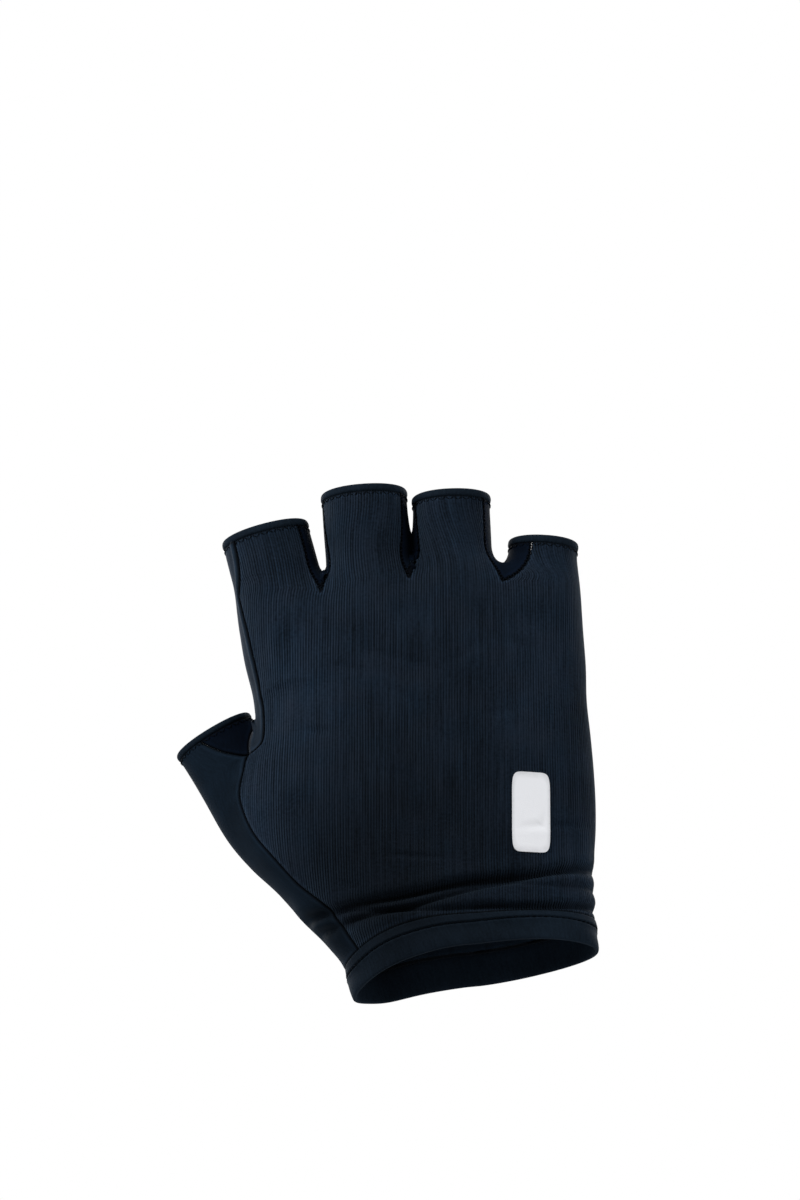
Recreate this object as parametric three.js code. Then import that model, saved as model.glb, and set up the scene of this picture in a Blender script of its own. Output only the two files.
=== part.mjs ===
// Short-finger cycling glove for a right hand, in the shape that it has when it is worn.
// +Z runs from the wrist to the fingers, -Y is the back of the hand, +X is the little-finger side.
// The origin is the middle of the wrist opening. Lengths are in millimetres, angles in degrees.
import * as THREE from "three";

// Driving sizes, over the cloth
const PALM_LENGTH = 108; // wrist opening to the finger crotches
const PALM_WIDTH = 91; // across the knuckles
const PALM_DEPTH = 29; // back to palm at the knuckles
const WRIST_WIDTH = 65.5;
const WRIST_DEPTH = 40;
const FINGER_LENGTH = 23; // longest finger tube above the crotches
const FINGER_WIDTH = 0.2484 * PALM_WIDTH; // middle finger tube
const FINGER_DEPTH = 21.6;
const THUMB_LENGTH = 82; // thumb opening to the wrist opening, along the thumb
const THUMB_WIDTH = 23.4;
const THUMB_DEPTH = 20;
const THUMB_LEAN = 31; // of the thumb's axis from upright, towards the forefinger side

// Cloth, hems and seams
const BACK_WALL = 1;
const PALM_WALL = 1.3;
const THUMB_WALL = 1;
const FOURCHETTE_WALL = 1;
const HEM_WALL = 1.5;
const HEM_PROUD = 0.3; // a hem stands this far out of the panels
const FINGER_HEM_HEIGHT = 2.2;
const THUMB_HEM_HEIGHT = 1.8;
const WRIST_HEM_HEIGHT = 8.5;
const SEAM_GAP = 0.3;
const INSERT_INSET = 0.3; // free edge of a narrow insert from its seam line
const FOLD_DEPTH = 1.5; // deepest wrist fold
const FOLD_HALF_WIDTH = 2.6;

// Plain reflective patch on the back, near the wrist
const PATCH_WIDTH = 10;
const PATCH_HEIGHT = 22;
const PATCH_CORNER = 2.5;
const PATCH_WALL = 0.5;
const PATCH_ACROSS = 0.148; // of PALM_WIDTH
const PATCH_UP = 0.385; // of PALM_LENGTH
// Rings of the patch from the middle of its inner face round its edge to that of its outer face:
// size is a share of the outline, lift is above the back panel's face.
const PATCH_RINGS = [
  { size: 0.5, lift: SEAM_GAP },
  { size: 1, lift: SEAM_GAP },
  { size: 1, lift: SEAM_GAP + PATCH_WALL },
  { size: 0.5, lift: SEAM_GAP + PATCH_WALL },
];

// Sections of the hand form. up is a share of PALM_LENGTH.
// In the wrist rows left and right are shares of WRIST_WIDTH, back and palm of WRIST_DEPTH.
// In the palm rows left and right are shares of PALM_WIDTH, back, palm and bow of PALM_DEPTH.
// bow is how far the two edges lie towards the palm from the middle line.
const WRIST_SECTIONS = [
  { up: -0.13, left: -0.5, right: 0.515, back: 0.46, palm: 0.49, bow: 0 },
  { up: -0.063, left: -0.51, right: 0.505, back: 0.45, palm: 0.48, bow: 0 },
  { up: 0.013, left: -0.54, right: 0.489, back: 0.435, palm: 0.465, bow: 0 },
  { up: 0.074, left: -0.6, right: 0.478, back: 0.415, palm: 0.445, bow: 0.01 },
];
const PALM_SECTIONS = [
  { up: 0.14, left: -0.505, right: 0.337, back: 0.555, palm: 0.59, bow: 0.03 },
  { up: 0.213, left: -0.57, right: 0.333, back: 0.54, palm: 0.58, bow: 0.05 },
  { up: 0.287, left: -0.637, right: 0.334, back: 0.525, palm: 0.56, bow: 0.07 },
  { up: 0.367, left: -0.69, right: 0.34, back: 0.515, palm: 0.54, bow: 0.09 },
  { up: 0.443, left: -0.709, right: 0.341, back: 0.51, palm: 0.52, bow: 0.11 },
  { up: 0.519, left: -0.693, right: 0.337, back: 0.505, palm: 0.49, bow: 0.13 },
  { up: 0.593, left: -0.659, right: 0.329, back: 0.5, palm: 0.46, bow: 0.15 },
  { up: 0.694, left: -0.662, right: 0.316, back: 0.5, palm: 0.45, bow: 0.16 },
  { up: 0.796, left: -0.685, right: 0.311, back: 0.495, palm: 0.45, bow: 0.17 },
  { up: 0.898, left: -0.69, right: 0.293, back: 0.475, palm: 0.43, bow: 0.17 },
  { up: 1.0, left: -0.7, right: 0.278, back: 0.44, palm: 0.38, bow: 0.17 },
  { up: 1.15, left: -0.7, right: 0.278, back: 0.4, palm: 0.35, bow: 0.17 },
];
const PALM_POWER = 2.5; // of the superellipse; 2 is an ellipse, more is squarer
const PALM_END = 1.03; // where the palm ends at the little finger's web, of PALM_LENGTH
const PALM_END_FALL = 0.12; // how fast that end comes down towards the forefinger
const PALM_END_BLEND = 0.36; // rounding of that end, of PALM_DEPTH

// Sections of a finger tube: at is a share of FINGER_LENGTH from its opening, width and depth of its own.
const FINGER_SECTIONS = [
  { at: -1.75, width: 0.8, depth: 0.72 },
  { at: -1.15, width: 0.98, depth: 1.0 },
  { at: -0.6, width: 1.01, depth: 1.02 },
  { at: 0, width: 1, depth: 1 },
  { at: 0.7, width: 0.98, depth: 0.98 },
];
const FINGER_POWER = 2.1;

// Finger tubes. across is a share of PALM_WIDTH, above of FINGER_LENGTH over the crotches,
// width and depth of FINGER_WIDTH and FINGER_DEPTH, deep of PALM_DEPTH towards the palm.
// The seam angles go round from the back of the finger: backLeft and backRight bound the back
// panel's tab, palmRight and palmLeft the palm panel's. sweep is how soon the seams turn from the
// crotch's line to these angles.
const FINGERS = [
  {
    name: "index",
    across: -0.632,
    above: 0.583,
    lean: 15,
    width: 1.03,
    depth: 0.98,
    deep: 0.05,
    backLeft: -49,
    backRight: 48,
    palmRight: 118,
    palmLeft: 248,
    sweep: 2,
  },
  {
    name: "middle",
    across: -0.34,
    above: 1.04,
    lean: 4,
    width: 1,
    depth: 1,
    deep: 0.0,
    backLeft: -78,
    backRight: 60,
    palmRight: 118,
    palmLeft: 242,
    sweep: 2,
  },
  {
    name: "ring",
    across: -0.082,
    above: 1.0,
    lean: 2,
    width: 0.91,
    depth: 0.95,
    deep: 0.03,
    backLeft: -70,
    backRight: 55,
    palmRight: 118,
    palmLeft: 242,
    sweep: 2,
  },
  {
    name: "little",
    across: 0.19,
    above: 0.496,
    lean: -3,
    width: 0.81,
    depth: 0.85,
    deep: 0.16,
    backLeft: -20,
    backRight: 125,
    palmRight: 125,
    palmLeft: 242,
    sweep: 3.2,
  },
];

// Crotches between neighbouring fingers: across of PALM_WIDTH, back and palm heights of PALM_LENGTH.
const CROTCHES = [
  { across: -0.466, back: 0.955, palm: 0.995 },
  { across: -0.203, back: 0.995, palm: 1.02 },
  { across: 0.07, back: 0.98, palm: 1.01 },
];

// Sections of the thumb: at is a share of THUMB_LENGTH from its opening, left and right of
// THUMB_WIDTH, back, palm and deep of THUMB_DEPTH.
const THUMB_SECTIONS = [
  { at: -1.16, left: -0.21, right: 0.68, back: 0.8, palm: 0.85, deep: 0.05 },
  { at: -1.02, left: -0.158, right: 0.77, back: 0.8, palm: 0.85, deep: 0.07 },
  { at: -0.91, left: -0.085, right: 0.85, back: 0.78, palm: 0.82, deep: 0.12 },
  { at: -0.74, left: -0.215, right: 0.92, back: 0.75, palm: 0.78, deep: 0.22 },
  { at: -0.605, left: -0.33, right: 0.86, back: 0.72, palm: 0.74, deep: 0.32 },
  { at: -0.47, left: -0.45, right: 0.74, back: 0.66, palm: 0.7, deep: 0.42 },
  { at: -0.337, left: -0.515, right: 0.58, back: 0.6, palm: 0.62, deep: 0.5 },
  { at: -0.18, left: -0.507, right: 0.45, back: 0.54, palm: 0.55, deep: 0.56 },
  { at: 0, left: -0.5, right: 0.45, back: 0.5, palm: 0.52, deep: 0.6 },
  { at: 0.2, left: -0.49, right: 0.44, back: 0.48, palm: 0.5, deep: 0.62 },
];
const THUMB_POWER = 2.15;
const THUMB_OPENING_ACROSS = -0.779; // of PALM_WIDTH
const THUMB_OPENING_UP = 0.634; // of PALM_LENGTH
const THUMB_SEAM_BACK = -24; // angle of the web seam at the thumb's opening, on its back
const THUMB_SEAM_PALM = 204; // the same on its palm side

// The back panel's forefinger-side edge in the front view: the thumb seam, then the strip seam.
const BACK_EDGE = [
  { up: -0.07, across: -0.3 },
  { up: 0.043, across: -0.352 },
  { up: 0.16, across: -0.46 },
  { up: 0.214, across: -0.53 },
  { up: 0.295, across: -0.613 },
  { up: 0.344, across: -0.657 },
  { up: 0.395, across: -0.685 },
  { up: 0.45, across: -0.699 },
  { up: 0.505, across: -0.69 },
  { up: 0.556, across: -0.672 },
  { up: 0.582, across: -0.638 },
  { up: 0.64, across: -0.632 },
  { up: 0.718, across: -0.641 },
  { up: 0.807, across: -0.655 },
  { up: 0.879, across: -0.66 },
  { up: 0.956, across: -0.672 },
  { up: 1.08, across: -0.705 },
];
// The palm panel's edge beside the thumb, in the same view.
const THENAR_EDGE = [
  { up: -0.07, across: -0.29 },
  { up: 0.08, across: -0.37 },
  { up: 0.19, across: -0.46 },
  { up: 0.32, across: -0.55 },
  { up: 0.46, across: -0.61 },
  { up: 0.57, across: -0.65 },
];
const THUMB_CROTCH_BACK = { up: 0.556, across: -0.672 };
const THUMB_CROTCH_PALM = { up: 0.57, across: -0.65 };
const THUMB_CROTCH_RISE = 0.075; // of PALM_LENGTH, middle of the crotch over its two ends
const THUMB_CROTCH_SHIFT = 0.01; // of PALM_WIDTH, the same towards the thumb

// Seam round the little-finger side and the edge of the palm's wrap, as angles round the palm.
const SIDE_SEAM_ANGLE = 125;
const WRAP_ANGLE = 248;

// The wrist opening slopes: its height on each side is a share of WRIST_WIDTH.
const WRIST_SLOPE = 0.098;
const WRIST_BACK_RISE = 0.075;
const WRIST_PALM_RISE = 0.01;

// Folds above the wrist hem. from and to are heights at the thumb and little-finger ends of a fold,
// shares of PALM_LENGTH; left and right are its ends, shares of PALM_WIDTH; depth is of FOLD_DEPTH.
const FOLDS = [
  { from: 0.14, to: 0.275, left: -0.42, right: 0.45, depth: 1, width: 1 },
  { from: 0.1, to: 0.205, left: -0.42, right: 0.1, depth: 0.6, width: 0.9 },
  { from: 0.135, to: 0.165, left: -0.05, right: 0.45, depth: 0.75, width: 0.7 },
];

// Grid steps
const PALM_ROWS = 24;
const THUMB_CROTCH_ROW = 14; // row of the palm grids that meets the thumb crotch
const FINGER_ROWS = 5;
const BACK_COLUMNS = [4, 4, 4, 7];
const PALM_COLUMNS = [4, 4, 4, 3];
const WRAP_COLUMNS = 4;
const FOURCHETTE_COLUMNS = 3;
const THUMB_COLUMNS = 9;
const THUMB_WEB_ROWS = 4;
const THUMB_WEB_DEPTH_ROWS = 3;
const PATCH_POINTS = 32;
const PROJECTION_STEPS = 14;

const { degToRad, radToDeg, lerp, clamp } = THREE.MathUtils;

// A smooth curve through one column of a table, against the column named key.
function curveThrough(rows, key, column) {
  const at = rows.map((row) => row[key]);
  const value = rows.map((row) => row[column]);
  const last = rows.length - 1;
  const slope = at.map((_, i) => {
    const before = Math.max(i - 1, 0);
    const after = Math.min(i + 1, last);
    return (value[after] - value[before]) / (at[after] - at[before]);
  });
  return (where) => {
    if (where <= at[0]) return value[0];
    if (where >= at[last]) return value[last];
    let i = 0;
    while (at[i + 1] < where) i++;
    const step = at[i + 1] - at[i];
    const s = (where - at[i]) / step;
    const rise = value[i + 1] - value[i];
    const a = slope[i] * step - rise;
    const b = rise - slope[i + 1] * step;
    return value[i] + s * rise + s * (1 - s) * (a * (1 - s) + b * s);
  };
}

function scaleRows(rows, factors) {
  return rows.map((row) =>
    Object.fromEntries(
      Object.entries(row).map(([key, value]) => [key, value * factors[key]]),
    ),
  );
}

const signedPower = (value, power) => Math.sign(value) * Math.abs(value) ** power;

// A limb is a tube of superellipse sections along a straight axis in the front plane.
// along is measured up its axis from centre, across to its right, and angle round it from the back.
class Limb {
  constructor({ centre, lean, power, rows, floor = -Infinity }) {
    const tilt = degToRad(lean);
    this.centre = centre;
    this.up = new THREE.Vector3(-Math.sin(tilt), 0, Math.cos(tilt));
    this.side = new THREE.Vector3(Math.cos(tilt), 0, Math.sin(tilt));
    this.power = power;
    this.floor = floor;
    for (const column of ["left", "right", "back", "palm", "deep", "bow"])
      this[column] = curveThrough(rows, "at", column);
  }

  section(along) {
    const left = this.left(along);
    const right = this.right(along);
    return {
      middle: (left + right) / 2,
      half: (right - left) / 2,
      back: this.back(along),
      palm: this.palm(along),
      deep: this.deep(along),
      bow: this.bow(along),
    };
  }

  point(along, angle) {
    const { middle, half, back, palm, deep, bow } = this.section(along);
    const turn = degToRad(angle);
    const sideways = signedPower(Math.sin(turn), 2 / this.power);
    const forwards = signedPower(Math.cos(turn), 2 / this.power);
    const depth = forwards > 0 ? back : palm;
    const point = this.centre.clone();
    point.addScaledVector(this.up, along);
    point.addScaledVector(this.side, middle + half * sideways);
    point.y += deep + bow * sideways ** 2 - depth * forwards;
    return point;
  }

  // across and depth of a point as shares of the section there, with the place along the axis
  shares(point) {
    const away = point.clone().sub(this.centre);
    const along = away.dot(this.up);
    const { middle, half, back, palm, deep, bow } = this.section(along);
    const sideways = (away.dot(this.side) - middle) / half;
    const depth = away.y - deep - bow * Math.min(sideways ** 2, 1.4);
    const reach = depth < 0 ? back : palm;
    return { along, sideways, forwards: -depth / reach, half, reach };
  }

  place(point) {
    const { along, sideways, forwards } = this.shares(point);
    const turn = Math.atan2(
      signedPower(sideways, this.power / 2),
      signedPower(forwards, this.power / 2),
    );
    return { along, angle: radToDeg(turn) };
  }

  // Distance to the tube's surface to first order, negative inside.
  distance(point) {
    const { along, sideways, forwards, half, reach } = this.shares(point);
    const n = this.power;
    const a = Math.abs(sideways) + 1e-6;
    const b = Math.abs(forwards) + 1e-6;
    const size = (a ** n + b ** n) ** (1 / n);
    const steepness =
      size ** (1 - n) * Math.hypot(a ** (n - 1) / half, b ** (n - 1) / reach);
    return Math.max((size - 1) / steepness, this.floor - along);
  }

  // Angle at which the section has a given share of its half width, on its back or palm side.
  angleAt(along, across, onPalm) {
    const { middle, half } = this.section(along);
    const share = clamp((across - middle) / half, -0.999, 0.999);
    const angle = radToDeg(Math.asin(signedPower(share, this.power / 2)));
    return onPalm ? 180 - angle : angle;
  }
}

const wristRows = scaleRows(WRIST_SECTIONS, {
  up: PALM_LENGTH,
  left: WRIST_WIDTH,
  right: WRIST_WIDTH,
  back: WRIST_DEPTH,
  palm: WRIST_DEPTH,
  bow: WRIST_DEPTH,
});
const palmRows = scaleRows(PALM_SECTIONS, {
  up: PALM_LENGTH,
  left: PALM_WIDTH,
  right: PALM_WIDTH,
  back: PALM_DEPTH,
  palm: PALM_DEPTH,
  bow: PALM_DEPTH,
});
const palm = new Limb({
  centre: new THREE.Vector3(),
  lean: 0,
  power: PALM_POWER,
  rows: [...wristRows, ...palmRows].map((row) => ({ ...row, at: row.up, deep: 0 })),
});

function makeFinger(finger) {
  const half = (finger.width * FINGER_WIDTH) / 2;
  const depth = (finger.depth * FINGER_DEPTH) / 2;
  const rows = FINGER_SECTIONS.map((row) => ({
    at: row.at * FINGER_LENGTH,
    left: -half * row.width,
    right: half * row.width,
    back: depth * row.depth,
    palm: depth * row.depth,
    deep: finger.deep * PALM_DEPTH,
    bow: 0,
  }));
  const centre = new THREE.Vector3(
    finger.across * PALM_WIDTH,
    0,
    PALM_LENGTH + finger.above * FINGER_LENGTH,
  );
  return new Limb({ centre, lean: finger.lean, power: FINGER_POWER, rows, floor: rows[0].at });
}
const fingers = FINGERS.map(makeFinger);

const thumbRows = scaleRows(THUMB_SECTIONS, {
  at: THUMB_LENGTH,
  left: THUMB_WIDTH,
  right: THUMB_WIDTH,
  back: THUMB_DEPTH,
  palm: THUMB_DEPTH,
  deep: THUMB_DEPTH,
});
const thumb = new Limb({
  centre: new THREE.Vector3(
    THUMB_OPENING_ACROSS * PALM_WIDTH,
    0,
    THUMB_OPENING_UP * PALM_LENGTH,
  ),
  lean: THUMB_LEAN,
  power: THUMB_POWER,
  rows: thumbRows.map((row) => ({ ...row, bow: 0 })),
});

// The hand form: the palm with a rounded end, the fingers and the thumb, run together smoothly.
// The thumb's blend is at its full size a quarter of the way down the thumb.
const FINGER_BLEND = 2.5;
const PALM_FINGER_BLEND = 7;
const PALM_THUMB_BLEND = 4;

function smoothMin(a, b, blend) {
  const near = Math.max(blend - Math.abs(a - b), 0) / blend;
  return Math.min(a, b) - (near * near * blend) / 4;
}
const smoothMax = (a, b, blend) => -smoothMin(-a, -b, blend);

// Valley that a fold presses into the cloth of the back, at a point of the front view.
function foldDepth(point) {
  if (point.z > PALM_LENGTH * 0.4) return 0;
  return FOLDS.reduce((sum, fold) => {
    const left = fold.left * PALM_WIDTH;
    const right = fold.right * PALM_WIDTH;
    const share = clamp((point.x - left) / (right - left), 0, 1);
    const height = lerp(fold.from, fold.to, share) * PALM_LENGTH;
    const away = (point.z - height) / (fold.width * FOLD_HALF_WIDTH);
    const fade = Math.sin(Math.PI * clamp(share, 0.02, 1) ** 0.6) ** 0.5;
    const onBack = clamp(0.5 - point.y / (WRIST_DEPTH / 4), 0, 1);
    return sum + fold.depth * FOLD_DEPTH * fade * onBack * Math.exp(-away * away);
  }, 0);
}

function handForm(point) {
  const past = Math.min(point.x - CROTCHES[2].across * PALM_WIDTH, 0);
  const end = PALM_END * PALM_LENGTH + PALM_END_FALL * past;
  const palmBody = smoothMax(
    palm.distance(point),
    point.z - end,
    PALM_END_BLEND * PALM_DEPTH,
  );
  const fingerTubes = fingers
    .map((finger) => finger.distance(point))
    .reduce((least, distance) => smoothMin(least, distance, FINGER_BLEND));
  const hand = smoothMin(palmBody, fingerTubes, PALM_FINGER_BLEND);
  const below = -thumb.shares(point).along / THUMB_LENGTH;
  const blend = PALM_THUMB_BLEND * clamp(below * 4, 0.7, 1);
  return smoothMin(hand, thumb.distance(point), blend) + foldDepth(point);
}

const PROBE = 0.05;
function slopeOf(point, value = handForm(point)) {
  const slope = new THREE.Vector3();
  for (const axis of ["x", "y", "z"]) {
    const moved = point.clone();
    moved[axis] += PROBE;
    slope[axis] = (handForm(moved) - value) / PROBE;
  }
  return slope;
}

// Moves a point that lies near the hand form on to it.
function onForm(point) {
  const moved = point.clone();
  for (let i = 0; i < PROJECTION_STEPS; i++) {
    const value = handForm(moved);
    const slope = slopeOf(moved, value);
    const step = clamp(value / slope.lengthSq(), -3, 3);
    moved.addScaledVector(slope, -step);
  }
  return moved;
}

// Where a line along Y through a place in the front view first meets the form.
function castOnForm(across, up, fromPalm) {
  const direction = fromPalm ? -1 : 1;
  const start = -direction * WRIST_DEPTH;
  const at = (distance) => new THREE.Vector3(across, start + direction * distance, up);
  let outside = 0;
  while (handForm(at(outside + 0.5)) > 0 && outside < WRIST_DEPTH) outside += 0.5;
  let inside = outside + 0.5;
  for (let i = 0; i < 12; i++) {
    const half = (outside + inside) / 2;
    if (handForm(at(half)) > 0) outside = half;
    else inside = half;
  }
  return at(outside);
}

// A point on the way round a limb from one place to another, with angles growing.
// The two ends are met exactly, whatever limb they lie on.
function around(limb, from, to, share) {
  const turn = limb.place(to).angle - limb.place(from).angle;
  return turned(limb, from, to, turn < 0 ? turn + 360 : turn, share);
}

// The same by the nearer way round.
function across(limb, from, to, share) {
  const turn = limb.place(to).angle - limb.place(from).angle;
  return turned(limb, from, to, turn - 360 * Math.round(turn / 360), share);
}

function turned(limb, from, to, turn, share) {
  const start = limb.place(from);
  const stop = { along: limb.place(to).along, angle: start.angle + turn };
  const point = limb.point(
    lerp(start.along, stop.along, share),
    lerp(start.angle, stop.angle, share),
  );
  const startMiss = from.clone().sub(limb.point(start.along, start.angle));
  const stopMiss = to.clone().sub(limb.point(stop.along, stop.angle));
  point.addScaledVector(startMiss, (1 - share) ** 3);
  point.addScaledVector(stopMiss, share ** 3);
  return point;
}

// Height of the wrist opening's edge at an angle round the wrist.
function wristEdge(angle) {
  const turn = degToRad(angle);
  const facing = Math.cos(turn);
  const rise = facing > 0 ? WRIST_BACK_RISE : WRIST_PALM_RISE;
  return WRIST_WIDTH * (WRIST_SLOPE * Math.sin(turn) + rise * facing * facing);
}
const panelFoot = (angle) => wristEdge(angle) + WRIST_HEM_HEIGHT;

const alongTable = (rows) => {
  const curve = curveThrough(rows, "up", "across");
  return (up) => curve(up / PALM_LENGTH) * PALM_WIDTH;
};
const backEdgeAcross = alongTable(BACK_EDGE);
const thenarEdgeAcross = alongTable(THENAR_EDGE);

// Rows of the palm grids: heights from the panels' foot to the crotches at one edge.
// They lie closer together near the wrist, where the folds are.
function rowHeight(row, foot, crotch, top) {
  return row <= THUMB_CROTCH_ROW
    ? lerp(foot, crotch, (row / THUMB_CROTCH_ROW) ** 1.15)
    : lerp(crotch, top, (row - THUMB_CROTCH_ROW) / (PALM_ROWS - THUMB_CROTCH_ROW));
}

const crotchLine = THUMB_CROTCH_BACK.up * PALM_LENGTH;

// Guide lines up the back and palm panels, as places on the palm limb, one for each row.
function edgeGuide(across, onPalm, crotchUp, topUp) {
  let foot = WRIST_HEM_HEIGHT;
  for (let i = 0; i < 8; i++) foot = panelFoot(palm.angleAt(foot, across(foot), onPalm));
  const points = [];
  for (let row = 0; row <= PALM_ROWS; row++) {
    const up = rowHeight(row, foot, crotchUp, topUp);
    points.push({ up, angle: palm.angleAt(up, across(up), onPalm) });
  }
  return points;
}

// A guide line at a constant angle, or at a share of the way between two others.
function angleGuide(angleAtRow, topUp) {
  const points = [];
  for (let row = 0; row <= PALM_ROWS; row++) {
    const angle = angleAtRow(row);
    points.push({ up: rowHeight(row, panelFoot(angle), crotchLine, topUp), angle });
  }
  return points;
}

const onPalmLimb = ({ up, angle }) => palm.point(up, angle);

const backCrotches = CROTCHES.map((crotch) => {
  const up = crotch.back * PALM_LENGTH;
  return { up, angle: palm.angleAt(up, crotch.across * PALM_WIDTH, false) };
});
const palmCrotches = CROTCHES.map((crotch) => {
  const up = crotch.palm * PALM_LENGTH;
  return { up, angle: palm.angleAt(up, crotch.across * PALM_WIDTH, true) };
});

// Angle of a guide that ends at a crotch: its share of the way round from the side seam to an edge
// stays the same down the panel, as if that edge were straight.
function spread(edge, crotchAngle, row) {
  const top = edge[PALM_ROWS].angle;
  const share = (crotchAngle - SIDE_SEAM_ANGLE) / (top - SIDE_SEAM_ANGLE);
  return lerp(SIDE_SEAM_ANGLE, lerp(edge[0].angle, top, row / PALM_ROWS), share);
}

// Back panel guides, from the forefinger edge to the little-finger side seam
const backEdge = edgeGuide(backEdgeAcross, false, crotchLine, backCrotches[0].up);
const sideSeam = angleGuide(() => SIDE_SEAM_ANGLE, backCrotches[2].up);
const backGuides = [
  backEdge,
  ...backCrotches.map((crotch) =>
    angleGuide((row) => spread(backEdge, crotch.angle, row), crotch.up),
  ),
  sideSeam,
];

// Palm panel guides, from the side seam to the thumb seam and the start of the wrap
const thumbCrotchPalmUp = THUMB_CROTCH_PALM.up * PALM_LENGTH;
const thenarEdge = edgeGuide(thenarEdgeAcross, true, thumbCrotchPalmUp, backCrotches[0].up);
const palmEdge = thenarEdge.map((place, row) =>
  row > THUMB_CROTCH_ROW ? { up: place.up, angle: wrapStartAngle(row) } : place,
);
function wrapStartAngle(row) {
  const start = thenarEdge[THUMB_CROTCH_ROW].angle;
  const share = (row - THUMB_CROTCH_ROW) / (PALM_ROWS - THUMB_CROTCH_ROW);
  return lerp(start, WRAP_ANGLE, Math.min(share * 2, 1));
}
const palmGuides = [
  sideSeam,
  ...palmCrotches
    .toReversed()
    .map((crotch) => angleGuide((row) => spread(palmEdge, crotch.angle, row), crotch.up)),
  palmEdge,
];

// Points of the two thumb-side edges, which lie on the whole form rather than the palm limb
const backEdgePoint = (row) => {
  const { up, angle } = backEdge[row];
  return onForm(palm.point(up, angle));
};
const palmEdgePoint = (row) => {
  const { up, angle } = palmEdge[row];
  if (row > THUMB_CROTCH_ROW) return onForm(palm.point(up, angle));
  return castOnForm(palm.point(up, angle).x, up, true);
};

// Row 0 of every grid is a place on the palm limb at the panels' foot.
function guidePoint(guides, guide, row) {
  if (guides === backGuides && guide === 0) return backEdgePoint(row);
  if (guides === palmGuides && guide === guides.length - 1) return palmEdgePoint(row);
  return onPalmLimb(guides[guide][row]);
}

// Grids of rough points. Each holds points[row][column], and onForm settles them later.
function grid(rows, columns, at) {
  const points = [];
  for (let row = 0; row <= rows; row++) {
    points.push([]);
    for (let column = 0; column <= columns; column++) points[row].push(at(row, column / columns));
  }
  return points;
}

// The part of a panel below the crotches, between two guides. Its foot follows the wrist hem.
function palmGrid(guides, guide, columns) {
  const first = guides[guide];
  const second = guides[guide + 1];
  return grid(PALM_ROWS, columns, (row, share) => {
    const footAngle = lerp(first[0].angle, second[0].angle, share);
    if (row === 0) return palm.point(panelFoot(footAngle), footAngle);
    const from = guidePoint(guides, guide, row);
    const to = guidePoint(guides, guide + 1, row);
    const point = around(palm, from, to, share);
    const bend = panelFoot(footAngle) - lerp(first[0].up, second[0].up, share);
    point.z += bend * Math.max(1 - row / THUMB_CROTCH_ROW, 0);
    return point;
  });
}

// A seam up a finger, from a place on the palm limb to an angle at the opening.
const fingerTop = (i, angle) => fingers[i].point(-FINGER_HEM_HEIGHT, angle);
function fingerSeam(i, base, angle, share) {
  const top = fingerTop(i, angle);
  const low = base.clone();
  const high = fingers[i].point(-FINGER_HEM_HEIGHT - (1 - share) * (top.z - base.z), angle);
  low.z += share * (top.z - base.z);
  return low.lerp(high, 1 - (1 - share) ** FINGERS[i].sweep);
}

// A tab of a panel on a finger, between two seams that start at the ends of the palm grid's top row.
function tabGrid(i, guides, guide, fromAngle, toAngle, columns) {
  const from = guidePoint(guides, guide, PALM_ROWS);
  const to = guidePoint(guides, guide + 1, PALM_ROWS);
  return grid(FINGER_ROWS, columns, (row, share) => {
    const height = row / FINGER_ROWS;
    const left = fingerSeam(i, from, fromAngle, height);
    const right = fingerSeam(i, to, toAngle, height);
    const flat = around(palm, left, right, share);
    const round = around(fingers[i], left, right, share);
    return flat.lerp(round, height * (2 - height));
  });
}

// The web line of a crotch, from its back end to its palm end.
function webLine(crotch, share) {
  const back = onPalmLimb(backCrotches[crotch]);
  return back.lerp(onPalmLimb(palmCrotches[crotch]), share);
}

// Half of a fourchette: the side of a finger, from the web line to the opening.
function fourchetteGrid(i, crotch, backAngle, palmAngle) {
  return grid(FINGER_ROWS, FOURCHETTE_COLUMNS, (row, share) =>
    fingerSeam(i, webLine(crotch, share), lerp(backAngle, palmAngle, share), row / FINGER_ROWS),
  );
}

// Closed loop of a limb's opening, sampled at the angles of the panels' own columns.
function loopAngles(spans) {
  return spans.flatMap(({ from, to, columns }) =>
    Array.from({ length: columns }, (_, i) => lerp(from, to, i / columns)),
  );
}

// A cloth piece with a wall: grids are settled on the form and welded, the free edge is drawn back
// by the inset, and the inner face lies one wall further in. Returns a closed geometry.
function clothGeometry(grids, wall, inset = SEAM_GAP / 2) {
  const outer = [];
  const index = new Map();
  const faces = [];
  const vertex = (point) => {
    const key = point.toArray().map((value) => Math.round(value * 1e3)).join();
    if (!index.has(key)) {
      index.set(key, outer.length);
      outer.push(onForm(point));
    }
    return index.get(key);
  };
  for (const points of grids) {
    const ids = points.map((row) => row.map(vertex));
    const quads = [];
    for (let row = 0; row + 1 < ids.length; row++)
      for (let column = 0; column + 1 < ids[row].length; column++)
        quads.push([
          ids[row][column],
          ids[row][column + 1],
          ids[row + 1][column + 1],
          ids[row + 1][column],
        ]);
    if (facing(quads, outer) < 0) quads.forEach((quad) => quad.reverse());
    for (const [a, b, c, d] of quads) {
      if (a !== b && b !== c && c !== a) faces.push([a, b, c]);
      if (a !== c && c !== d && d !== a) faces.push([a, c, d]);
    }
  }
  const edges = freeEdges(faces);
  drawBack(outer, edges, inset);
  const inner = outer.map((point) =>
    point.clone().addScaledVector(slopeOf(point).normalize(), -wall),
  );
  const count = outer.length;
  const triangles = [
    ...faces,
    ...faces.map(([a, b, c]) => [a + count, c + count, b + count]),
    ...edges.flatMap(([a, b]) => [
      [b, a, a + count],
      [b, a + count, b + count],
    ]),
  ];
  return geometryFrom([...outer, ...inner], triangles);
}

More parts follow.
